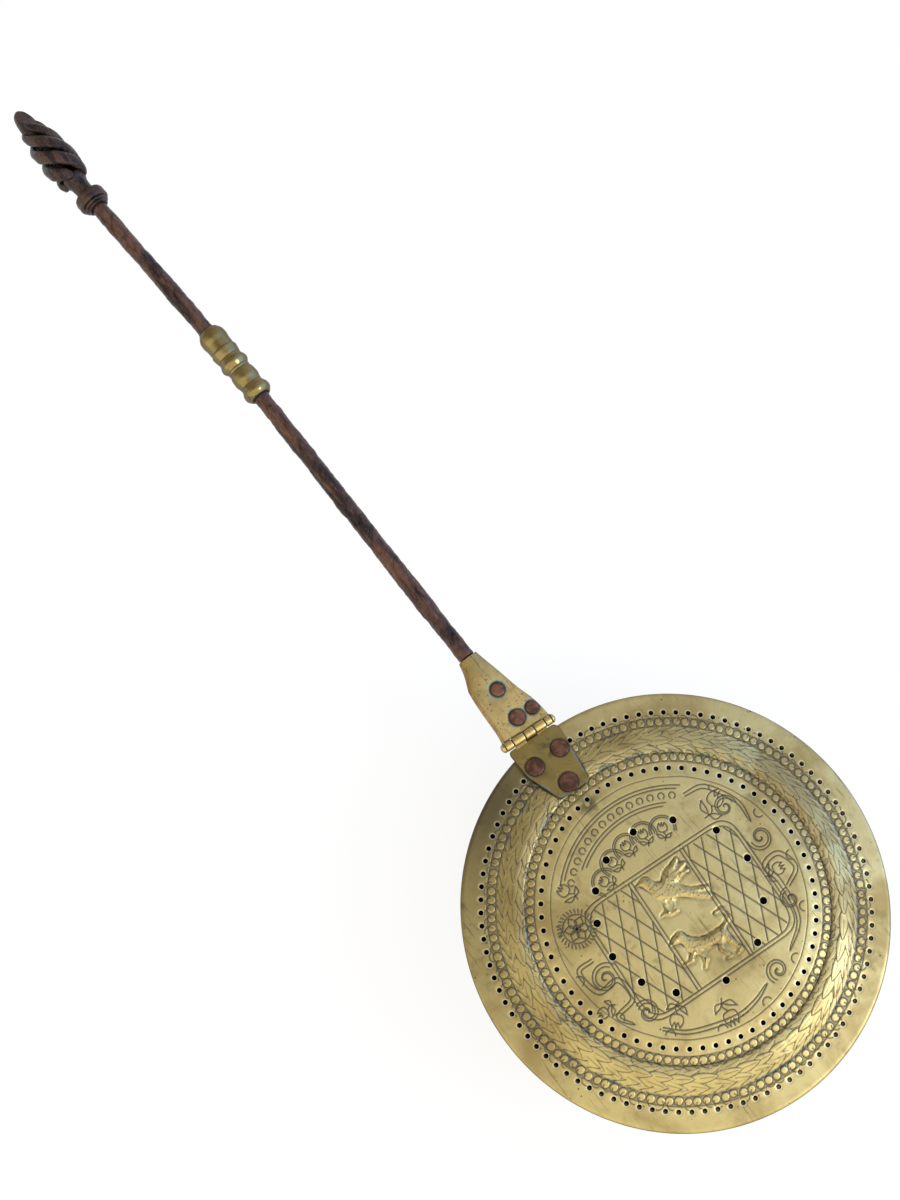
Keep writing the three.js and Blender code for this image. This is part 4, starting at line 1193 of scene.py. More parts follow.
    def rope(self, relief: Relief, r: Array, a: Array) -> None:
        """Cuts slanted S-shaped strokes between the wreath and the outer beads."""
        s = a * 123.0
        bend = np.tanh((r - 123.3) / 1.3)
        phase = s / 9.66 + 0.42 * bend + 0.08 * value_noise(s, r, 14.0, 5)
        away = (phase - np.round(phase)) * 9.66 * 0.55
        belt = ease(r, 120.2, 121.2) * (1 - ease(r, 125.4, 126.3))
        relief.height += belt * 0.28 * np.cos(math.pi * (phase - np.round(phase))) ** 2
        relief.carve(away + 30 * (1 - belt), 0.5, 0.2, 0.85)
        loose = value_noise(s, r, 3.2, 17) + 0.5 * value_noise(s, r, 1.4, 18)
        relief.carve(loose * 2.4 + 30 * (1 - ease(r, 124.2, 125.0) * (1 - ease(r, 126.6, 127.2))), 0.34, 0.12, 0.6)

    @staticmethod
    def unevenness(x: Array, y: Array) -> Array:
        """How far the beaten sheet strays from its outline."""
        return 0.13 * value_noise(x, y, 24.0, 11) + 0.05 * value_noise(x, y, 7.0, 12)

    def relief_at(self, x: Array, y: Array) -> Relief:
        """The whole relief at points of the lid."""
        relief = Relief(x, y)
        r, a = np.hypot(x, y), np.arctan2(y, x)
        if r.min() < self.field_of.radius + 1:
            self.field_of.press(relief)
        for ring, width, dark in ((89.0, 0.42, 0.85), (99.9, 0.42, 0.85), (106.2, 0.46, 0.85),
                                  (132.3, 0.42, 0.85), (126.0, 0.4, 0.8)):
            wander = 0.25 * value_noise(a * ring, r * 0, 9.0, int(ring))
            relief.carve(r - ring + wander, width, 0.2, dark)
        if r.max() > 98:
            self.beads(relief, r, a, 106, 103.0, 2.95, 0.2, 3)
            self.beads(relief, r, a, 128, 129.1, 3.0, 0.3, 4)
            self.leaves(relief, r, a)
            self.rope(relief, r, a)
        far = np.hypot(x - 140, y) / 200
        stain = value_noise(x, y, 9.0, 21) * 0.6 + value_noise(x, y, 2.6, 22) * 0.5
        by_beads = gauss(r - 106.9, 1.2) * ease(stain + 0.55 - far * 0.9, 0.1, 0.6)
        outside = gauss(r - 125.6, 1.1) * ease(stain + 0.15 + 0.5 * far, 0.25, 0.8)
        in_grooves = relief.groove * ease(stain, 0.25, 0.7) * ((r > 97) & (r < 134))
        relief.verdigris = np.clip(0.85 * by_beads + 0.7 * outside + 0.5 * in_grooves, 0, 1)
        # Painted shade: shade darkens two sides of the lid by their bearing, as light falls on it; bruise and stain add
        # tarnish to the same mask.
        p, q = Field.to_picture(x, y)
        bearing = np.degrees(np.arctan2(q, p))
        off = [(bearing - middle + 180) % 360 - 180 for middle in (150, 192)]
        shade = 1.2 * gauss(off[0], 24) * ease(r, 118, 142) + 0.4 * gauss(off[1], 26) * ease(r, 98, 140)
        bruise = gauss(np.hypot(x - 92, y - 6), 7.5) * ease(value_noise(x, y, 3.3, 61), -0.7, 0.2)
        relief.dull = np.clip(0.8 * shade + bruise + 0.3 * ease(stain, 0.35, 0.9), 0, 1)
        low = self.leaf_cover(x, y)
        flat = ease(low, -0.5, 1.4)
        for name in ("height", "groove", "verdigris"):
            setattr(relief, name, getattr(relief, name) * flat)
        relief.verdigris = np.maximum(relief.verdigris, 0.6 * gauss(low - 0.6, 0.9) * ease(stain, -0.6, 0.5))
        # Dirt and painted shadow: a dark line round the hinge leaf's outline, where the leaf stands over the lid.
        relief.soil(0.95 * gauss(low, 0.75))
        relief.height += self.unevenness(x, y)
        return relief

    def surface(self, x: Array, y: Array) -> tuple[Array, Masks]:
        """Height and masks of the lid's upper face.

        Args:
            x: across the lid.
            y: across the lid.

        Returns:
            The height at each point, and the masks.
        """
        relief = self.relief_at(x, y)
        r = np.hypot(x, y)
        height = smooth_curve(r, self.profile) + relief.height
        rim = np.zeros(x.shape)
        for hx, hy, radius in self.hole_list():
            near = np.nonzero((np.abs(x - hx) < 7) & (np.abs(y - hy) < 7))[0]
            away = np.hypot(x[near] - hx, y[near] - hy) - radius
            height[near] -= 0.16 * gauss(np.clip(away, 0, None), 0.9)
            relief.groove[near] *= ease(away, 0.1, 0.8)
            relief.verdigris[near] *= ease(away, 0.1, 0.8)
            # rim: a light ring round each hole, a painted highlight
            rim[near] = np.maximum(rim[near], gauss(away - 0.15, 0.45))
        return np.minimum(height, self.flat_top), {"groove": relief.groove, "verdigris": relief.verdigris, "rim": rim,
                                                   "dull": relief.dull}

    def sheet_from(self, x: Array, y: Array, faces: Array) -> Skin:
        """Cuts the holes in a flat grid, raises it to the lid's surface and gives it the sheet's thickness.

        A point inside a hole is moved out to the hole's edge, and a face wholly inside is left out.
        """
        inside = np.zeros(x.shape, bool)
        for hx, hy, radius in self.hole_list():
            near = np.nonzero((np.abs(x - hx) < radius + 1) & (np.abs(y - hy) < radius + 1))[0]
            away = np.hypot(x[near] - hx, y[near] - hy)
            caught = near[away < radius]
            inside[caught] = True
            push = radius / np.maximum(away[away < radius], 1e-6)
            x[caught], y[caught] = hx + (x[caught] - hx) * push, hy + (y[caught] - hy) * push
        faces = faces[~inside[faces].all(1)]
        used, faces = np.unique(faces, return_inverse=True)
        faces = faces.reshape(-1, 4)
        x, y = x[used], y[used]
        height, masks = self.surface(x, y)
        return thickened(Skin(np.column_stack([x, y, height]), faces, masks), self.sheet)

    def middle(self, sign_u: int, sign_v: int) -> Skin:
        """One quarter of the field: a square's quarter, bent so that its squares become rings.

        A point (u, v) of the square goes to radius max(|u|, |v|) and to the angle that its place on that square's
        side gives.
        """
        n = int(self.field_of.radius / self.cell) + 1
        u, v = np.meshgrid(np.linspace(0, 1, n), np.linspace(0, 1, n), indexing="ij")
        big, small = np.maximum(u, v), np.minimum(u, v)
        a = math.pi / 4 * small / np.maximum(big, 1e-9)
        c, s = big * np.cos(a), big * np.sin(a)
        x, y = np.where(u >= v, c, s) * sign_u, np.where(u >= v, s, c) * sign_v
        faces = grid_faces(n, n, False)
        if sign_u * sign_v > 0:
            faces = faces[:, ::-1]
        return self.sheet_from(x.ravel() * self.field_of.radius, y.ravel() * self.field_of.radius, faces)

    def ring(self, inner: float, outer: float, start: float, end: float) -> Skin:
        """Part of a ring of the lid, between two radii and two angles."""
        rows = int(round((outer - inner) / self.cell)) + 1
        columns = int(round((end - start) * (inner + outer) / 2 / self.cell)) + 1
        r, a = np.meshgrid(np.linspace(inner, outer, rows), np.linspace(start, end, columns), indexing="ij")
        return self.sheet_from((r * np.cos(a)).ravel(), (r * np.sin(a)).ravel(),
                               grid_faces(rows, columns, False)[:, ::-1])

    def edge(self) -> Skin:
        """The flange's outer part and the turned-down edge: a closed section carried round.

        Returns:
            The surface, in mm.
        """
        reach = np.linspace(self.ring_end, 146.0, 8)
        top = list(zip(reach, smooth_curve(reach, self.profile)))
        lip = [(147.4, 2.14), (148.5, 1.95), (149.3, 1.55), (149.8, 0.95), (150, 0.3), (149.9, -0.4), (149.4, -0.9),
               (148.8, -0.95), (148.2, -0.8), (148.1, 0.2), (147.2, 0.8), (146.2, 1.0)]
        under = [(r, z - self.sheet) for r, z in top[::-1]]
        skin = revolved(np.array(top + lip + under + top[:1]), 720)
        x, y, z = skin.points.T
        r = np.hypot(x, y)
        z = np.maximum(z + self.unevenness(x, y) * (z < 3.5), -0.95)
        shrink = np.minimum(1, 149 / r)
        skin.points[:, 2] = z
        # Painted shade: the outermost edge is drawn as a dark line, and the underside of the turned-down lip is
        # darkened.
        skin.masks = {"groove": np.clip(0.55 * gauss(r - 149.9, 0.5) + 0.9 * (z < 0.2), 0, 1),
                      # the flange takes the lid's painted shade and tarnish
                      "dull": self.relief_at(x * shrink, y * shrink).dull}
        skin.faces = skin.faces[:, ::-1]
        return skin

    def build(self, finish: bpy.types.Material) -> None:
        """Builds the lid's pieces, which stand for the sheet.

        Args:
            finish: the lid's brass.
        """
        parts = [("lid_field_%d" % (i + 1), self.middle(u, v)) for i, (u, v) in
                 enumerate(((1, 1), (-1, 1), (-1, -1), (1, -1)))]
        for label, inner, outer in (("inner_beads", self.field_of.radius, 106.0), ("wreath", 106.0, 123.0),
                                    ("outer_beads", 123.0, self.ring_end)):
            parts += [("lid_%s_%d" % (label, i + 1), self.ring(inner, outer, i * math.pi, (i + 1) * math.pi))
                      for i in range(2)]
        parts.append(("lid_flange", self.edge()))
        for name, skin in parts:
            piece(name, skin.moved(LID_ORIGIN), finish, Body.LID, ["lid_sheet"])


# ---------------------------------------------------------------- hinge, plates and rivets


@dataclass(frozen=True)
class Rivet:
    """One rivet: where it stands in the hinge's own directions, its head's radius, and its CAD node."""

    node: str
    u: float
    v: float
    radius: float
    seed: int
    head: float = 1.2

    def skin(self, tail: float, seat: float, lean: float = 0.0) -> Skin:
        """A hammered, slightly uneven head with its shank and tail.

        The head's radius wanders by a few hundredths, its top by a tenth of a millimetre.

        Args:
            tail: how far below the head's seat the tail is seated.
            seat: height of the head's seat at the middle.
            lean: how far the rivet leans towards the pin, in radians.

        Returns:
            The surface in the lid's frame.
        """
        r, h = self.radius, self.head
        profile = [(0, -tail - 1.25), (3.0, -tail - 1.2), (4.2, -tail - 0.7), (4.35, -tail), (2.5, -tail), (2.5, -0.1),
                   (r - 0.3, -0.1), (r, 0.0), (r, 0.25), (r - 0.15, 0.5), (r - 0.55, 0.78 * h), (r * 0.8, 0.9 * h),
                   (r * 0.55, 0.98 * h), (r * 0.28, 1.0 * h), (0, 1.02 * h)]
        skin = revolved(np.array(profile), 56)
        x, y, z = skin.points.T
        a, away = np.arctan2(y, x), np.hypot(x, y)
        wander = 1 + 0.035 * value_noise(2 * np.cos(a), 2 * np.sin(a), 1.0, self.seed)
        above = z > -0.15
        dent = value_noise(x + 9 * self.seed, y, 2.2, self.seed + 40) * 0.16 * (z > 0.3)
        x, y, z = np.where(above, x * wander, x), np.where(above, y * wander, y), z + dent
        c, s = math.cos(lean), math.sin(lean)
        cx, cy = HINGE.to_lid(self.u, self.v)
        points = np.column_stack([cx + x * c + z * s, cy + y, seat - x * s + z * c])
        return Skin(points, skin.faces, {"groove": gauss(away - r, 0.5) * above})

    def build(self, top: float, body: Body, copper: bpy.types.Material, grip: float, lean: float = 0.0) -> None:
        """Builds the rivet, whose tail follows its CAD node's lower end.

        Args:
            top: height of the head's seat.
            body: the body that it rides on.
            copper: its finish.
            grip: how far the tail's seat is above the node's lower end.
            lean: how far it leans towards the pin, in radians.
        """
        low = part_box(self.node)[0][2] / MM - LID_ORIGIN[2]
        piece(self.node + "_round", self.skin(top - low - grip, top, lean).moved(LID_ORIGIN), copper, body,
              [self.node])


LEAF_RIVETS = (Rivet("lid_rivet_1", -22.5, 9.35, 7.0, 1), Rivet("lid_rivet_2", -20.5, -12.9, 6.7, 2),
               Rivet("lid_rivet_3", -44.2, -4.1, 7.3, 3))
SOCKET_RIVETS = (Rivet("socket_rivet_1", 38.2, 0.6, 5.4, 4), Rivet("socket_rivet_2", 14.0, -0.2, 6.0, 5),
                 Rivet("socket_rivet_3", 14.2, -13.1, 5.1, 6))


def near_rivets(x: Array, y: Array, rivets: Sequence[Rivet]) -> Array:
    """Distance from each point to the nearest rivet head's edge.

    Args:
        x: x of each point.
        y: y of each point.
        rivets: the rivets.

    Returns:
        Each point's distance to the nearest head's edge, in mm.
    """
    best = np.full(x.shape, 99.0)
    for rivet in rivets:
        cx, cy = HINGE.to_lid(rivet.u, rivet.v)
        best = np.minimum(best, np.hypot(x - cx, y - cy) - rivet.radius)
    return best


@dataclass
class HingeJoint:
    """The knuckles, the pin and the leaf that is riveted to the lid."""

    knuckle_radius: float = 3.5
    edges: tuple[float, ...] = (19.6, 13.0, 3.3, -5.2, -14.1, -19.4)
    plate_low: float = 2.69
    plate_thick: float = 1.4
    slope: float = 0.17

    def leaf_bottom(self, x: Array) -> Array:
        """Height of the leaf's underside at x in the lid's frame."""
        return 9.9 + self.slope * (110 - x)

    def along_pin(self, skin: Skin) -> Skin:
        """A surface that was made along X from the middle of the hinge, laid along the pin."""
        x, y, z = skin.points.T
        px, py = HINGE.to_lid(-y, x)
        return Skin(np.column_stack([px, py, z + HINGE.pin_z]), skin.faces, skin.masks)

    def knuckle(self, high: float, low: float, side: int) -> Skin:
        """One rolled knuckle: a barrel with eased ends and the seam of its rolled sheet, and the tab it grows from.

        Args:
            high: its end nearer the left.
            low: its other end.
            side: 1 towards the handle, -1 towards the lid.

        Returns:
            The surface.
        """
        low, high = low + 0.18, high - 0.18
        r = self.knuckle_radius
        ends = [(0, 1.6), (0, r - 0.7), (0.12, r - 0.35), (0.4, r - 0.08), (0.8, r)]
        profile = [(low + a, b) for a, b in ends] + [(low + (high - low) * t, r) for t in (0.3, 0.5, 0.7)]
        profile += [(high - a, b) for a, b in ends[::-1]]
        profile = [(low + 0.6, 0.0)] + profile + [(high - 0.6, 0.0)]
        barrel = turned_along_x(np.array(profile), 40)
        x, y, z = barrel.points.T
        a = np.arctan2(z, y)
        seam = gauss((a - (-2.5 if side > 0 else -0.64)) * r, 0.35) * (np.hypot(y, z) > r - 0.4)
        worn = 1 + 0.018 * value_noise(x * 1.0, a * 3, 2.5, int(high * 10) % 97)
        barrel.points = np.column_stack([x, y * worn, z * worn])
        end_dirt = gauss(np.minimum(x - low, high - x), 0.35)
        barrel.masks = {"groove": np.clip(0.85 * end_dirt + 0.8 * seam, 0, 1)}
        tab_u = np.array([0.6, 6.2]) * side
        corners = [(tab_u[0], low + 0.1), (tab_u[1], low + 0.1), (tab_u[1], high - 0.1), (tab_u[0], high - 0.1)]
        outline = rounded_outline(corners if side > 0 else corners[::-1], 0.4, 0.6)
        tab = plate(HINGE.outline(outline), lambda x, y: 0 * x + self.plate_low + self.plate_thick - 0.03,
                    lambda x, y: 0 * x + self.plate_low + 0.03, 0.25, 5)
        tab.masks = {"groove": np.full(len(tab.points), 0.25)}
        return joined([self.along_pin(barrel), tab])

    def pin(self) -> Skin:
        """The pin with two domed heads, beaten a little out of round.

        Returns:
            The surface, in mm.
        """
        top, bottom = self.edges[0] + 0.1, self.edges[-1] - 0.1
        dome = [(0.0, 1.0), (0.3, 0.96), (0.6, 0.82), (0.82, 0.6), (0.95, 0.33), (1.0, 0.06)]
        left = [(bottom - 3.0 * along, 3.55 * share) for share, along in dome]
        right = [(top + 3.0 * along, 3.55 * share) for share, along in dome[::-1]]
        profile = left + [(bottom, 3.4), (bottom, 1.55), (top, 1.55), (top, 3.4)] + right
        skin = turned_along_x(np.array(profile), 36)
        x, y, z = skin.points.T
        wander = 1 - 0.05 * np.abs(value_noise(x * 1.1, np.arctan2(z, y), 1.2, 66))
        skin.points = np.column_stack([x, y * wander, z * wander])
        near = np.minimum(np.abs(x - top), np.abs(x - bottom))
        skin.masks = {"groove": 0.9 * gauss(near, 0.4)}
        return self.along_pin(skin)

    def leaf(self) -> Skin:
        """The flat leaf with soft edges, its face dented by the rivets.

        Returns:
            The surface, in mm.
        """
        outline = rounded_outline(LEAF_OUTLINE, 2.2, 0.5)
        skin = plate(HINGE.outline(outline),
                     lambda x, y: self.leaf_bottom(x) + self.plate_thick + 0.1 * value_noise(x, y, 9.0, 33),
                     lambda x, y: self.leaf_bottom(x) + 0.02, 0.45, 44)
        x, y, z = skin.points.T
        away = near_rivets(x, y, LEAF_RIVETS)
        upper = z > self.leaf_bottom(x) + 0.7
        z = z + upper * (-0.16 * gauss(np.clip(away - 0.2, 0, None), 1.4))
        u, v = HINGE.from_lid(x, y)
        rim = distance_to_line(u, v, np.concatenate([outline, outline[:1]]))
        stain = value_noise(x, y, 4.5, 51) + 0.6 * value_noise(x, y, 1.6, 52)
        burnt = gauss(np.hypot(u + 17, v + 8.5) - 4.0, 4.5) * ease(stain, -0.7, 0.3)
        scratch = gauss(distance_to_line(u, v, np.array([(-14.0, 17.0), (-22.0, 12.4), (-27.0, 12.0)])), 0.3)
        # the dark line along the leaf's edge is dirt and painted shade
        groove = most(0.8 * gauss(rim, 0.55),
                      upper * most(0.75 * gauss(away - 0.25, 0.45), 0.75 * burnt, 0.6 * scratch))
        green = gauss(rim - 0.6, 1.0) * ease(stain, -0.3, 0.5) * ease(-u, 12, 30)
        skin.points = np.column_stack([x, y, z])
        skin.masks = {"groove": groove, "verdigris": green}
        return skin

    def build(self, leaf: bpy.types.Material, bright: bpy.types.Material, copper: bpy.types.Material) -> None:
        """Builds the hinge.

        Args:
            leaf: the darker brass of the leaf.
            bright: the brass of the knuckles and the pin.
            copper: the rivets' finish.
        """
        pairs = list(zip(self.edges[:-1], self.edges[1:]))
        lid_side = joined([self.knuckle(a, b, -1) for a, b in pairs[1::2]])
        pan_side = joined([self.knuckle(a, b, 1) for a, b in pairs[::2]])
        for name, skin, finish, body, node in (("hinge_leaf_plate", self.leaf(), leaf, Body.LID, "lid_hinge_leaf"),
                                               ("hinge_leaf_knuckles", lid_side, bright, Body.LID, "lid_hinge_leaf"),
                                               ("hinge_socket_knuckles", pan_side, bright, Body.PAN, "socket_plate"),
                                               ("hinge_pin_round", self.pin(), bright, Body.PAN, "hinge_pin")):
            piece(name, skin.moved(LID_ORIGIN), finish, body, [node])
        for rivet in LEAF_RIVETS:
            top = self.leaf_bottom(HINGE.to_lid(rivet.u, rivet.v)[0]) + self.plate_thick + 0.05
            rivet.build(top, Body.LID, copper, 2.4, math.atan(self.slope))


@dataclass
class SocketPlate:
    """The brass plate over the handle's tang: flat by the hinge, crowned over the rod, its sides turned down."""

    low: float = 2.692
    thick: float = 1.4
    lip: float = 3.8
    middle_y: float = 7.2
    sides: tuple[tuple[float, float, float], ...] = (
        (171, 17.6, -19.4), (190, 16.6, -14.6), (206, 14.9, -11.5), (212, 12.4, -10.2), (219, 9.6, -8.6),
        (226.5, 7.7, -7.2))

    def side(self, share: Array, which: int) -> tuple[Array, Array]:
        """A point of one long side, from the hinge end at share 0 to the narrow end at share 1.

        Args:
            share: place along the side.
            which: 1 for the left side, -1 for the right.

        Returns:
            The point's x and y, in the lid's frame.
        """
        start = HINGE.to_lid(3.8, 18.9 if which == 1 else -20.6)
        rows = [start] + [(x, self.middle_y + (left if which == 1 else right)) for x, left, right in self.sides]
        xs, ys = np.array(rows, float).T
        x = start[0] + (226.4 - start[0]) * share
        return x, smooth_curve(x, list(zip(xs, ys)))

    def skin(self) -> Skin:
        """The plate as a closed loop of sections: outer face, lips and inner face, closed at each end.

        Returns:
            The surface, in mm.
        """
        stations = np.linspace(0, 1, 132)
        lx, ly = self.side(stations, 1)
        rx, ry = self.side(stations, -1)
        top = self.low + self.thick
        turn = np.linspace(0, math.pi / 2, 6)
        round_out = 1.5

        def section(thin: float) -> tuple[Array, Array, Array]:
            """(place across from 0 at the right to 1 at the left, inset in mm, height) for a depth inside the face."""
            r = max(round_out - thin, 0.15)
            drop = np.linspace(self.low - self.lip, top - round_out, 6)
            right = [(0.0, thin, z) for z in drop]
            right += [(0.0, thin + r * (1 - math.cos(a)), top - round_out + r * math.sin(a)) for a in turn[1:]]
            flat = [(t, 0.0, top - thin) for t in np.linspace(0, 1, 74)[1:-1]]
            left = [(1.0, -i, z) for _, i, z in right[::-1]]
            return tuple(np.array(c) for c in zip(*(right + flat + left)))

        rows = []
        left, right = ly[:, None], ry[:, None]
        middle, half = (left + right) / 2, (left - right) / 2
        crown = ease(stations, 0.42, 0.92)[:, None]
        for thin in (0.0, 1.15):
            across, inset, z = section(thin)
            flat_y = right + round_out + (left - right - 2 * round_out) * across
            lip_y = np.where(across > 0.5, left, right) + inset
            y = np.where((across == 0) | (across == 1), lip_y, flat_y)
            x = rx[:, None] + (lx - rx)[:, None] * (y - right) / (left - right)
            bulge = (1 - ((y - middle) / half) ** 2).clip(0, 1)
            rows.append((x, y, z + crown * (1.75 * bulge - 0.35), np.full(x.shape, float(thin == 0))))
        x, y, z, outer = (np.concatenate([a, b[:, ::-1]], axis=1) for a, b in zip(*rows))
        away = near_rivets(x, y, SOCKET_RIVETS)
        upper = outer * (z > top - 0.6)
        dents = 0.14 * value_noise(x, y, 8.0, 91) + 0.05 * value_noise(x, y, 2.6, 92)
        z = np.minimum(z + upper * (dents - 0.2 * gauss(np.clip(away - 0.2, 0, None), 1.6)), 7.6)
        points = np.stack([x, y, z], axis=-1)
        near, far = ((points[[end]] + points[[end], ::-1]) / 2 for end in (0, -1))
        points = np.concatenate([near, points, far])
        faces = grid_faces(len(points), points.shape[1], True)[:, ::-1]
        stain = value_noise(x, y, 3.4, 93) + 0.6 * value_noise(x, y, 1.2, 94)
        rim = np.minimum(np.abs(y - left), np.abs(y - right))
        ends = np.minimum(stations, 1 - stations)[:, None] * 60
        veins = 0.8 * gauss(stain, 0.06) * ease(value_noise(x, y, 7.0, 96), 0.25, 0.4)
        spots = 0.75 * most(ease(value_noise(x, y, 1.3, 95), 0.74, 0.84), veins)
        # The plate's inner face is darkened as painted shade; the rest is stains, dark joints and rivet dirt.
        masks = {"groove": most(upper * most(0.9 * gauss(away - 0.35, 0.55), spots), 0.8 * gauss(ends, 0.5),
                                0.55 * gauss(rim - 0.4, 0.5) * ease(stain, -0.4, 0.6), 0.55 * (outer < 0.5)),
                 "verdigris": upper * gauss(np.clip(away - 0.7, 0, None), 1.9) * ease(stain, -0.5, 0.3),
                 "warm": outer * gauss(rim - 0.8, 1.4) * np.where(y > self.middle_y, 0.75, 0.25)}
        masks = {name: np.concatenate([a[:1], a, a[-1:]]).ravel() for name, a in masks.items()}
        return Skin(points.reshape(-1, 3), faces, masks)

    def build(self, brass: bpy.types.Material, copper: bpy.types.Material) -> None:
        """Builds the plate and its rivets.

        Args:
            brass: the plate's finish.
            copper: the rivets' finish.
        """
        piece("socket_plate_shell", self.skin().moved(LID_ORIGIN), brass, Body.PAN, ["socket_plate"])
        for rivet in SOCKET_RIVETS:
            rivet.build(self.low + self.thick + (0.32 if rivet.u > 30 else 0.05), Body.PAN, copper, 1.3)


# ---------------------------------------------------------------- handle


@dataclass
class Handle:
    """The two iron rods, the turned ferrule over their joint, the collar and the twisted finial."""

    rod_radius: float = 6.5
    bend: float = math.radians(1.35)
    turns: float = -0.85
    strand_width: float = 10.6
    strand_thick: float = 6.4
    ferrule_outline: tuple[tuple[float, float], ...] = (
        (0, 8.2), (0.012, 8.9), (0.028, 9.9), (0.045, 10.6), (0.065, 11.0), (0.1, 10.9), (0.12, 10.4), (0.135, 9.9),
        (0.15, 9.55), (0.17, 9.1), (0.175, 8.9), (0.18, 9.05), (0.21, 9.35), (0.27, 10.2), (0.33, 10.0), (0.385, 9.1),
        (0.39, 8.7), (0.40, 9.05), (0.418, 9.2), (0.425, 8.75), (0.435, 9.2), (0.46, 10.4), (0.48, 11.1), (0.5, 11.25),
        (0.52, 11.0), (0.54, 10.5), (0.545, 10.1), (0.56, 9.95), (0.585, 9.7), (0.588, 9.4), (0.595, 9.75),
        (0.64, 10.4),
        (0.69, 10.85), (0.705, 10.4), (0.71, 10.15), (0.74, 10.15), (0.8, 10.2), (0.84, 10.6), (0.87, 10.85),
        (0.92, 10.7), (0.95, 10.1), (0.975, 9.2), (1, 8.2))
    collar_outline: tuple[tuple[float, float], ...] = (
        (0, 7.9), (0.04, 8.6), (0.1, 8.75), (0.135, 8.3), (0.15, 8.9), (0.175, 10.1), (0.22, 10.6), (0.27, 10.45),
        (0.3, 10.0), (0.32, 10.9), (0.35, 11.9), (0.42, 12.4), (0.52, 12.5), (0.6, 12.25), (0.64, 12.3),
        (0.72, 12.5), (0.82, 12.4), (0.93, 11.9), (1, 10.6))

    def frames(self) -> dict[str, Matrix]:
        """Where each part's own frame is, in the row frame in millimetres."""
        base = Matrix.Translation(Vector(LID_ORIGIN) + Vector((0, 7.2, -1.8)))
        turn = Matrix.Rotation(self.bend, 4, "Z")
        ferrule = base @ Matrix.Translation((491, 0, 0)) @ turn
        upper = ferrule @ Matrix.Translation((38.5, 0, 0)) @ turn
        collar = upper @ Matrix.Translation((147, 0, 0))
        return {"lower": base, "ferrule": ferrule, "upper": upper, "collar": collar,
                "neck": collar @ Matrix.Translation((14.3, 0, 0)), "basket": collar @ Matrix.Translation((28.3, 0, 0)),
                "tip": collar @ Matrix.Translation((90.3, 0, 0))}

    @staticmethod
    def forged(skin: Skin, seed: int, amount: float = 0.2, keep_ends: Sequence[float] = ()) -> Skin:
        """Makes a turned surface uneven, as hammering leaves it: broad flats, small dents and dark folds.

        Args:
            skin: a surface round X.
            seed: picks the unevenness.
            amount: its depth in millimetres.
            keep_ends: places along X that get a dark line.

        Returns:
            The changed surface.
        """
        x, y, z = skin.points.T
        r, a = np.hypot(y, z), np.arctan2(z, y)
        twist = a + x * 0.035
        wavy = 0.55 * np.sin(a * 1.0 + x * 0.16) * value_noise(x, a * 0, 15.0, seed + 9)
        broad = wavy + value_noise(x, 6 * np.cos(twist), 9.0, seed)
        broad = broad + value_noise(x + 50, 6 * np.sin(twist), 9.0, seed + 1)
        fine = value_noise(x, 6 * np.cos(a), 3.0, seed + 2) + value_noise(x + 70, 6 * np.sin(a), 3.0, seed + 3)
        folds = value_noise(x * 0.5 + 4 * np.cos(a), 7 * np.sin(a), 2.4, seed + 4)
        fold = gauss(folds, 0.09)
        grown = np.where(r > 0.01, (r + amount * (0.5 * broad + 0.3 * fine) - 0.12 * fold) / np.maximum(r, 0.01), 1)
        ends = sum((gauss(x - end, 0.6) for end in keep_ends), np.zeros(len(x)))
        return Skin(np.column_stack([x, y * grown, z * grown]), skin.faces,
                    {"groove": np.clip(0.75 * fold + 0.9 * ends, 0, 1)})

    def rod(self, start: float, end: float, seed: int, marks: Sequence[float]) -> Skin:
        """A forged rod with eased ends."""
        r = self.rod_radius - 0.2
        middle = [(x, r) for x in np.linspace(start + 1.2, end - 1.2, int((end - start) / 1.1))]
        profile = [(start, 0), (start, r - 0.9), (start + 0.3, r - 0.3)] + middle
        profile += [(end - 0.3, r - 0.3), (end, r - 0.9), (end, 0)]
        return self.forged(turned_along_x(np.array(profile), 48), seed, 0.6, marks)

    def tang(self) -> Skin:
        """The spade-shaped end of the lower rod, under the socket plate.

        Returns:
            The surface, in mm.
        """
        left = [(6.5, 17.2)] + [(x - 157, y + 7.2 - 7.6 - 1.5 + (x - 157) * 0.084) for x, y in
                                ((171, 17.6), (190, 16.6), (206, 14.9), (212, 12.4), (222, 7.9))]
        right = [(x - 157, y + 7.2 - 7.6 + 1.5 + (x - 157) * 0.084) for x, y in
                 ((222, -7.6), (212, -10.2), (206, -11.5), (190, -14.6), (171, -19.4))] + [(6.5, -18.9)]
        outline = rounded_outline((left + right)[::-1], 1.5, 1.0)
        flat = plate(HINGE.outline(outline), lambda x, y: 0 * x + 2.36, lambda x, y: 0 * x - 0.2, 0.6, 14)
        root = turned_along_x(np.array([(213.5, 0), (213.5, 3.5), (216, 4.6), (227.2, 5.6), (227.2, 0)]), 28)
        x, y, z = root.points.T
        root.points = np.column_stack([x, y + 7.2, np.clip(z - 1.8, -8, 2.3)])
        return joined([flat, root])

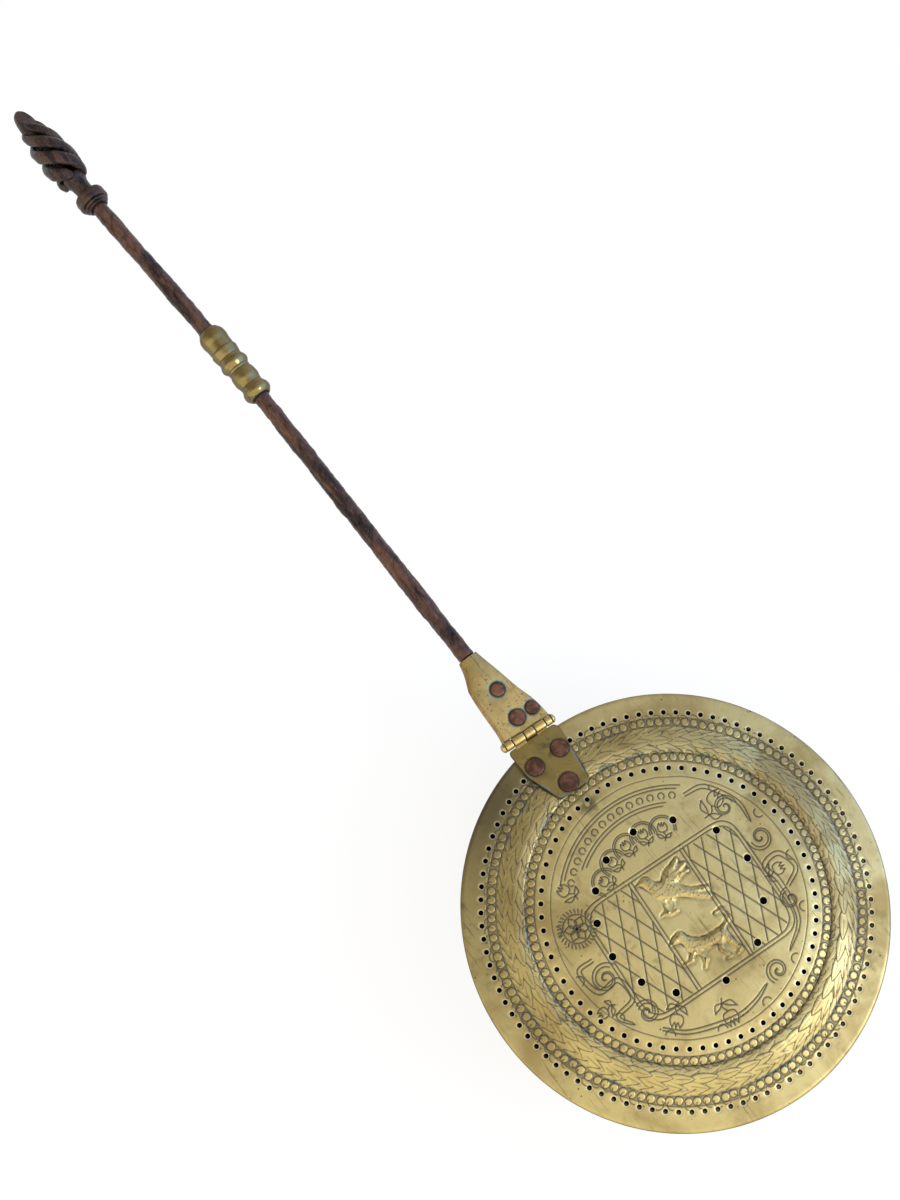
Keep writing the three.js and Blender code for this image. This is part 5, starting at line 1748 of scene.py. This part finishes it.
    def ferrule(self) -> Skin:
        """The ferrule: a turned outline, read from a monotone cubic, with dark cut lines in its hollows.

        Returns:
            The surface, in mm.
        """
        length = 65.5
        share = np.linspace(0, 1, 190)
        radius = smooth_curve(share, self.ferrule_outline)
        outer = list(zip(share * length, radius))
        profile = [(0.0, 6.9), (0.15, 7.6)] + outer + [(length - 0.15, 7.6), (length, 6.9), (length, 6.75), (0.0, 6.75),
                                                      (0.0, 6.9)]
        skin = turned_along_x(np.array(profile), 96)
        skin.points[:, 0] -= 13.5
        x, y, z = skin.points.T
        r = np.hypot(y, z)
        groove = sum(gauss(x + 13.5 - s * length, 0.32) for s in (0.175, 0.39, 0.425, 0.588, 0.708))
        ends = gauss(x + 13.5, 0.5) + gauss(x + 13.5 - length, 0.5)
        # Painted shade: the bore inside the ferrule is fully darkened; the cut lines and the ends are dark joints.
        skin.masks = {"groove": np.clip(0.75 * groove * (r > 7.5) + 0.8 * ends + 1.0 * (r < 7.2), 0, 1)}
        return skin

    def collar(self) -> Skin:
        """The collar's stepped rings, beaten a little out of round, with a sharp back edge.

        Returns:
            The surface, in mm.
        """
        length = 14.0
        share = np.linspace(0, 1, 64)
        outer = list(zip(share * length, smooth_curve(share, self.collar_outline)))
        profile = [(0.0, 6.75), (-0.02, 7.4)] + outer + [(length, 6.75), (0.0, 6.75)]
        skin = turned_along_x(np.array(profile), 96)
        x, y, z = skin.points.T
        r, a = np.hypot(y, z), np.arctan2(z, y)
        wander = 1 + 0.022 * value_noise(2.4 * np.cos(a), 2.4 * np.sin(a), 1.0, 71) * (r > 7) - 0.012 * (r > 7)
        groove = sum(gauss(x - s * length, 0.3) for s in (0.137, 0.302)) + gauss(x, 0.5)
        skin.points = np.column_stack([x, y * wander, z * wander])
        skin.masks = {"groove": np.clip(groove * (r > 7), 0, 1)}
        return skin

    def neck(self) -> Skin:
        """The neck, forged round, with a slight waist.

        Returns:
            The surface, in mm.
        """
        xs = np.linspace(0, 18, 30)
        radius = 7.35 - 0.35 * np.sin(np.clip(xs / 11, 0, 1) * math.pi) + 1.9 * ease(xs, 10.5, 15.5)
        profile = [(0, 0)] + list(zip(xs, radius)) + [(19, 8.4), (21, 6.9), (30, 6.7), (49.4, 6.4), (49.7, 0)]
        skin = self.forged(turned_along_x(np.array(profile), 48), 140, 0.2, (0.3,))
        # Painted shade: the part of the neck inside the basket is darkened.
        skin.masks["groove"] = np.maximum(skin.masks["groove"], ease(skin.points[:, 0], 18, 21))
        return skin

    def strand(self, phase: float, number: int) -> Skin:
        """One broad strand that winds round X: centre at angle phase + turns times a full turn times its share.

        Its section is a flattened superellipse, fuller on the outside, and each end closes in a rounded ear.

        Args:
            phase: the angle that it starts at.
            number: which strand it is, for its unevenness.

        Returns:
            The surface.
        """
        share = np.linspace(0, 1, 90)
        length = 62.0
        reach = smooth_curve(share, [(0, 8.6), (0.07, 10.2), (0.22, 11.75), (0.42, 11.6), (0.62, 10.5), (0.82, 8.3),
                                     (1, 5.2)])
        a = phase + self.turns * TAU * share
        centres = np.column_stack([share * length, reach * np.cos(a), reach * np.sin(a)])
        outward = np.column_stack([0 * a, np.cos(a), np.sin(a)])
        across = unit(np.cross(outward, unit(np.gradient(centres, axis=0))))
        full = reach / 11.6

        def section(t: Array, angle: Array) -> tuple[Array, Array]:
            """Half width and half thickness, as a superellipse of power 2.6 with a ridge on its outer face."""
            close = np.maximum(closing(t, 0.09, 0.14), 0.02)
            s = np.sin(angle)
            u = squared_off(np.cos(angle), 0.9) * self.strand_width / 2 * full[:, None]
            v = squared_off(s, 0.85) * self.strand_thick / 2 * (0.82 + 0.18 * full[:, None])
            ridge = 0.32 * np.exp(-((u + 1.3) / 1.4) ** 2) * (s > 0) - 0.25 * np.exp(-((u - 2.4) / 0.7) ** 2) * (s > 0)
            rough = 0.22 * value_noise(t * length, 3 * angle + 0 * t, 4.0, 200 + number)
            return u * close, (v + ridge + rough * (np.abs(s) > 0.2)) * close

        skin = swept(centres, across, outward, section, 30)
        x, y, z = skin.points.T
        # Painted shade: the inner face of each strand, towards the hollow of the basket, is darkened.
        inner = np.clip((np.repeat(reach, 30) - np.hypot(y, z)) / 1.6, 0, 1)
        fold = gauss(value_noise(x * 0.6, y + z, 2.4, 230 + number), 0.1)
        skin.masks = {"groove": np.clip(0.95 * inner + 0.6 * fold, 0, 1)}
        return skin

    def tip(self) -> Skin:
        """The blunt tip: a turned outline squeezed to an oval, with one broad worn facet.

        Returns:
            The surface, in mm.
        """
        outline = [(-26, 0), (-25.6, 6.2), (-15, 6.0), (-10, 6.7), (-6, 7.5), (-2, 7.7), (2, 7.4), (5, 7.0), (8, 6.3),
                   (10.5, 5.4), (12.2, 4.4), (13.6, 3.2), (14.5, 2.0), (14.9, 0.9), (15, 0)]
        fine = np.concatenate([np.linspace(-26, 13, 60), 15 - 2 * np.cos(np.linspace(0, math.pi / 2, 14))[1:]])
        skin = turned_along_x(np.column_stack([fine, np.interp(fine, *np.array(outline).T)]), 48)
        x, y, z = skin.points.T
        tilt = 0.35
        along, over = y * math.cos(tilt) + z * math.sin(tilt), -y * math.sin(tilt) + z * math.cos(tilt)
        facet = 7.6 - 3.6 * ease(x, -7, 5) - 0.12 * np.clip(x - 2, 0, None)
        over = np.minimum(over * 0.95, facet)
        y, z = along * math.cos(tilt) - over * math.sin(tilt), along * math.sin(tilt) + over * math.cos(tilt)
        skin.points = np.column_stack([x, y, z])
        skin = self.forged(skin, 260, 0.25)
        # Painted shade: the part of the tip inside the basket is darkened.
        skin.masks["groove"] = np.maximum(skin.masks["groove"], ease(-skin.points[:, 0], 8, 13))
        return skin

    def build(self, iron: bpy.types.Material, dark: bpy.types.Material, brass: bpy.types.Material) -> None:
        """Builds the handle.

        Args:
            iron: the rods' finish.
            dark: the collar's and the finial's finish.
            brass: the ferrule's finish.
        """
        at = self.frames()

        def put(name: str, skin: Skin, frame_name: str, node: str, finish: bpy.types.Material = iron) -> None:
            """Places one part of the handle."""
            piece(name, skin.placed(at[frame_name]), finish, Body.PAN, [node])

        put("rod_lower", self.rod(226.8, 504.3, 100, (226.8, 477.0)), "lower", "handle_lower_rod")
        put("rod_tang", self.tang().moved((0, -7.2, 1.8)), "lower", "handle_lower_rod")
        put("ferrule_turned", self.ferrule(), "ferrule", "handle_ferrule", brass)
        put("rod_upper", self.rod(-13.3, 160.5, 120, (14.0, 146.6, 13.2)), "upper", "handle_upper_rod")
        put("collar_rings", self.collar(), "collar", "handle_collar", dark)
        put("neck_forged", self.neck(), "neck", "finial_neck", dark)
        for number in range(4):
            put("strand_twisted_%d" % (number + 1), self.strand(number / 4 * TAU, number), "basket",
                "finial_strand_%d" % (number + 1), dark)
        put("tip_blunt", self.tip(), "tip", "finial_tip", dark)


# ---------------------------------------------------------------- pan


@dataclass
class Pan:
    """The brass pan, its rim rolled over a wire, and the iron bracket that holds it to the handle."""

    sheet: float = 1.2
    depth: float = 90.0
    top_radius: float = 137.215
    fillet: float = 14.0
    wall: float = math.radians(9)
    shift: float = -2.0
    roll: tuple[float, float, float] = (146.3, 87.3, 2.7)

    def wall_radius(self, z: float) -> float:
        """Outside radius of the wall at a height."""
        return self.top_radius - (self.depth - self.sheet - z) * math.tan(self.wall)

    def shell(self) -> Skin:
        """The pan as one closed section carried round: floor, rounded corner, wall, flange and rolled rim.

        Returns:
            The surface, in mm.
        """
        centre = self.wall_radius(self.fillet) - self.fillet / math.cos(self.wall)
        tilt = math.cos(self.wall)

        def face(inset: float) -> list[tuple[float, float]]:
            """Floor, corner and wall, at a depth inside the outer face."""
            reach = self.fillet - inset
            rows = [(r, inset) for r in (0, 20, 50, 80, 100)]
            rows += [(centre + reach * math.cos(a), self.fillet + reach * math.sin(a))
                     for a in np.radians(np.linspace(-90, -9, 14))]
            return rows + [(self.wall_radius(z) - inset / tilt, z) for z in np.linspace(16, 86.5, 24)]

        outer = face(0.0) + [(137.3, 88.0), (138.0, 88.6), (139.2, 88.8), (143.0, 88.8)]
        rx, rz, rr = self.roll
        turn = np.radians(np.linspace(90, -150, 20))
        curl = [(rx + reach * math.cos(a), rz + reach * math.sin(a))
                for reach, angles in ((rr - 1.15, turn), (rr, turn[::-1])) for a in angles]
        top = [(143.0, 90.0), (140.0, 90.0), (137.5, 89.95), (136.6, 89.6), (136.0, 88.8)]
        profile = np.array(outer + curl + top + face(self.sheet)[::-1])
        skin = revolved(profile, 240)
        x, y, z = skin.points.T
        r = np.hypot(x, y)
        dents = (0.3 * value_noise(np.arctan2(y, x) * 120, z, 22.0, 301) + 0.08 * value_noise(x, y + z, 6.0, 302))
        side = ease(z, 8, 20) * (1 - ease(z, 72, 84))
        push = 1 + (dents - 0.05) * side / np.maximum(r, 1)
        skin.points = np.column_stack([x * push + self.shift * ease(r, 137.4, 143.0), y * push, z])
        rank = np.repeat(np.arange(len(profile)), 240)
        inside = rank >= len(outer) + len(curl) + 2
        soot = value_noise(x + z, y - z, 17.0, 303) * 0.5 + value_noise(x, y + z, 5.0, 304) * 0.3
        scuff = gauss(z, 2.5) * (r > 60) * 0.35
        # Painted shade: the pan's inside face and inner lip are darkened as shade under the lid, and soot varies it.
        skin.masks = {"groove": np.clip(np.where(inside, 0.72 + soot * 0.5, scuff + 0.12 * ease(soot, 0.1, 0.5)), 0, 1)}
        return skin

    def bracket(self) -> Skin:
        """The iron strap, as a rounded section carried along its bends.

        Returns:
            The surface, in mm.
        """
        corners = [(200.6, -1.76), (158.5, -1.76), (154.4, -3.0), (153.2, -6.2), (152.4, -9.4), (148.6, -11.0),
                   (142.6, -11.6), (140.0, -14.4), (138.9, -20.0), (131.9, -59.6)]
        x, z = resampled(Field.wave(corners, 9), math.inf, 109).T
        centres = np.column_stack([x, 0 * x + 7.2, z])
        across = np.tile([0.0, 1.0, 0.0], (len(x), 1))
        outward = np.cross(unit(np.gradient(centres, axis=0)), across)

        def section(t: Array, angle: Array) -> tuple[Array, Array]:
            """A flat bar with rounded edges: a superellipse, closed at each end."""
            close = closing(t, 0.012, 0.03)
            return (squared_off(np.cos(angle), 0.35) * 6.9 * np.maximum(close, 0.02),
                    squared_off(np.sin(angle), 0.5) * 1.24 * np.maximum(close, 0.3) * np.where(close == 0, 0.02, 1))

        return swept(centres, across, outward, section, 36)

    def build(self, brass: bpy.types.Material, iron: bpy.types.Material) -> None:
        """Builds the pan and its bracket.

        Args:
            brass: the pan's finish.
            iron: the bracket's finish.
        """
        piece("pan_shell", self.shell(), brass, Body.PAN, ["pan_bowl"])
        piece("bracket_strap", self.bracket().moved(LID_ORIGIN), iron, Body.PAN, ["pan_bracket"])
def dress_frame(finishes: dict[Slot, bpy.types.Material]) -> None:
    """Gives every CAD node that is kept its slot's finish."""
    slots = {Slot.LID: ("lid_sheet",), Slot.PAN: ("pan_bowl",),
             Slot.HINGE: ("lid_hinge_leaf", "socket_plate", "hinge_pin"), Slot.FERRULE: ("handle_ferrule",),
             Slot.COPPER: ("lid_rivet", "socket_rivet", "bracket_rivet")}
    for name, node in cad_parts.items():
        chosen = next((slot for slot, names in slots.items() if name.startswith(names)), Slot.IRON)
        node.data.materials.clear()
        node.data.materials.append(finishes[chosen])


def main() -> None:
    """Builds everything in order."""
    logging.basicConfig(level=logging.INFO, format="%(message)s")
    studio = Studio()
    studio.camera()
    studio.floor()
    studio.light()
    effects = Effects()
    finishes = {Slot.LID: Brass("lid_brass_aged").make(effects),
                Slot.PAN: Brass("pan_brass_aged").make(effects),
                Slot.HINGE: Brass("hinge_brass_aged", clean=(0.5, 0.385, 0.16), warm=(0.3, 0.16, 0.055),
                                   verdigris=(0.2, 0.25, 0.19), rough=0.3).make(effects),
                # the ferrule's outline gets the full painted shade
                Slot.FERRULE: Brass("ferrule_brass_aged", (0.24, 0.19, 0.085), (0.2, 0.15, 0.062), rim=1.0,
                                     rough=0.14).make(effects),
                Slot.COPPER: Copper("copper_aged").make(effects),
                Slot.IRON: Iron("iron_rusty").make(effects)}
    dress_frame(finishes)
    leaf = Brass("leaf_brass_dark", clean=(0.26, 0.2, 0.07), tarnish=(0.15, 0.1, 0.036),
                 verdigris=(0.13, 0.17, 0.15)).make(effects)
    Pan().build(finishes[Slot.PAN], finishes[Slot.IRON])
    Lid().build(finishes[Slot.LID])
    HingeJoint().build(leaf, finishes[Slot.HINGE], finishes[Slot.COPPER])
    SocketPlate().build(finishes[Slot.HINGE], finishes[Slot.COPPER])
    dark = Iron("iron_dark", rust=(0.055, 0.026, 0.018), pale=(0.1, 0.055, 0.038)).make(effects)
    Handle().build(finishes[Slot.IRON], dark, finishes[Slot.FERRULE])


if __name__ == "__main__":
    main()
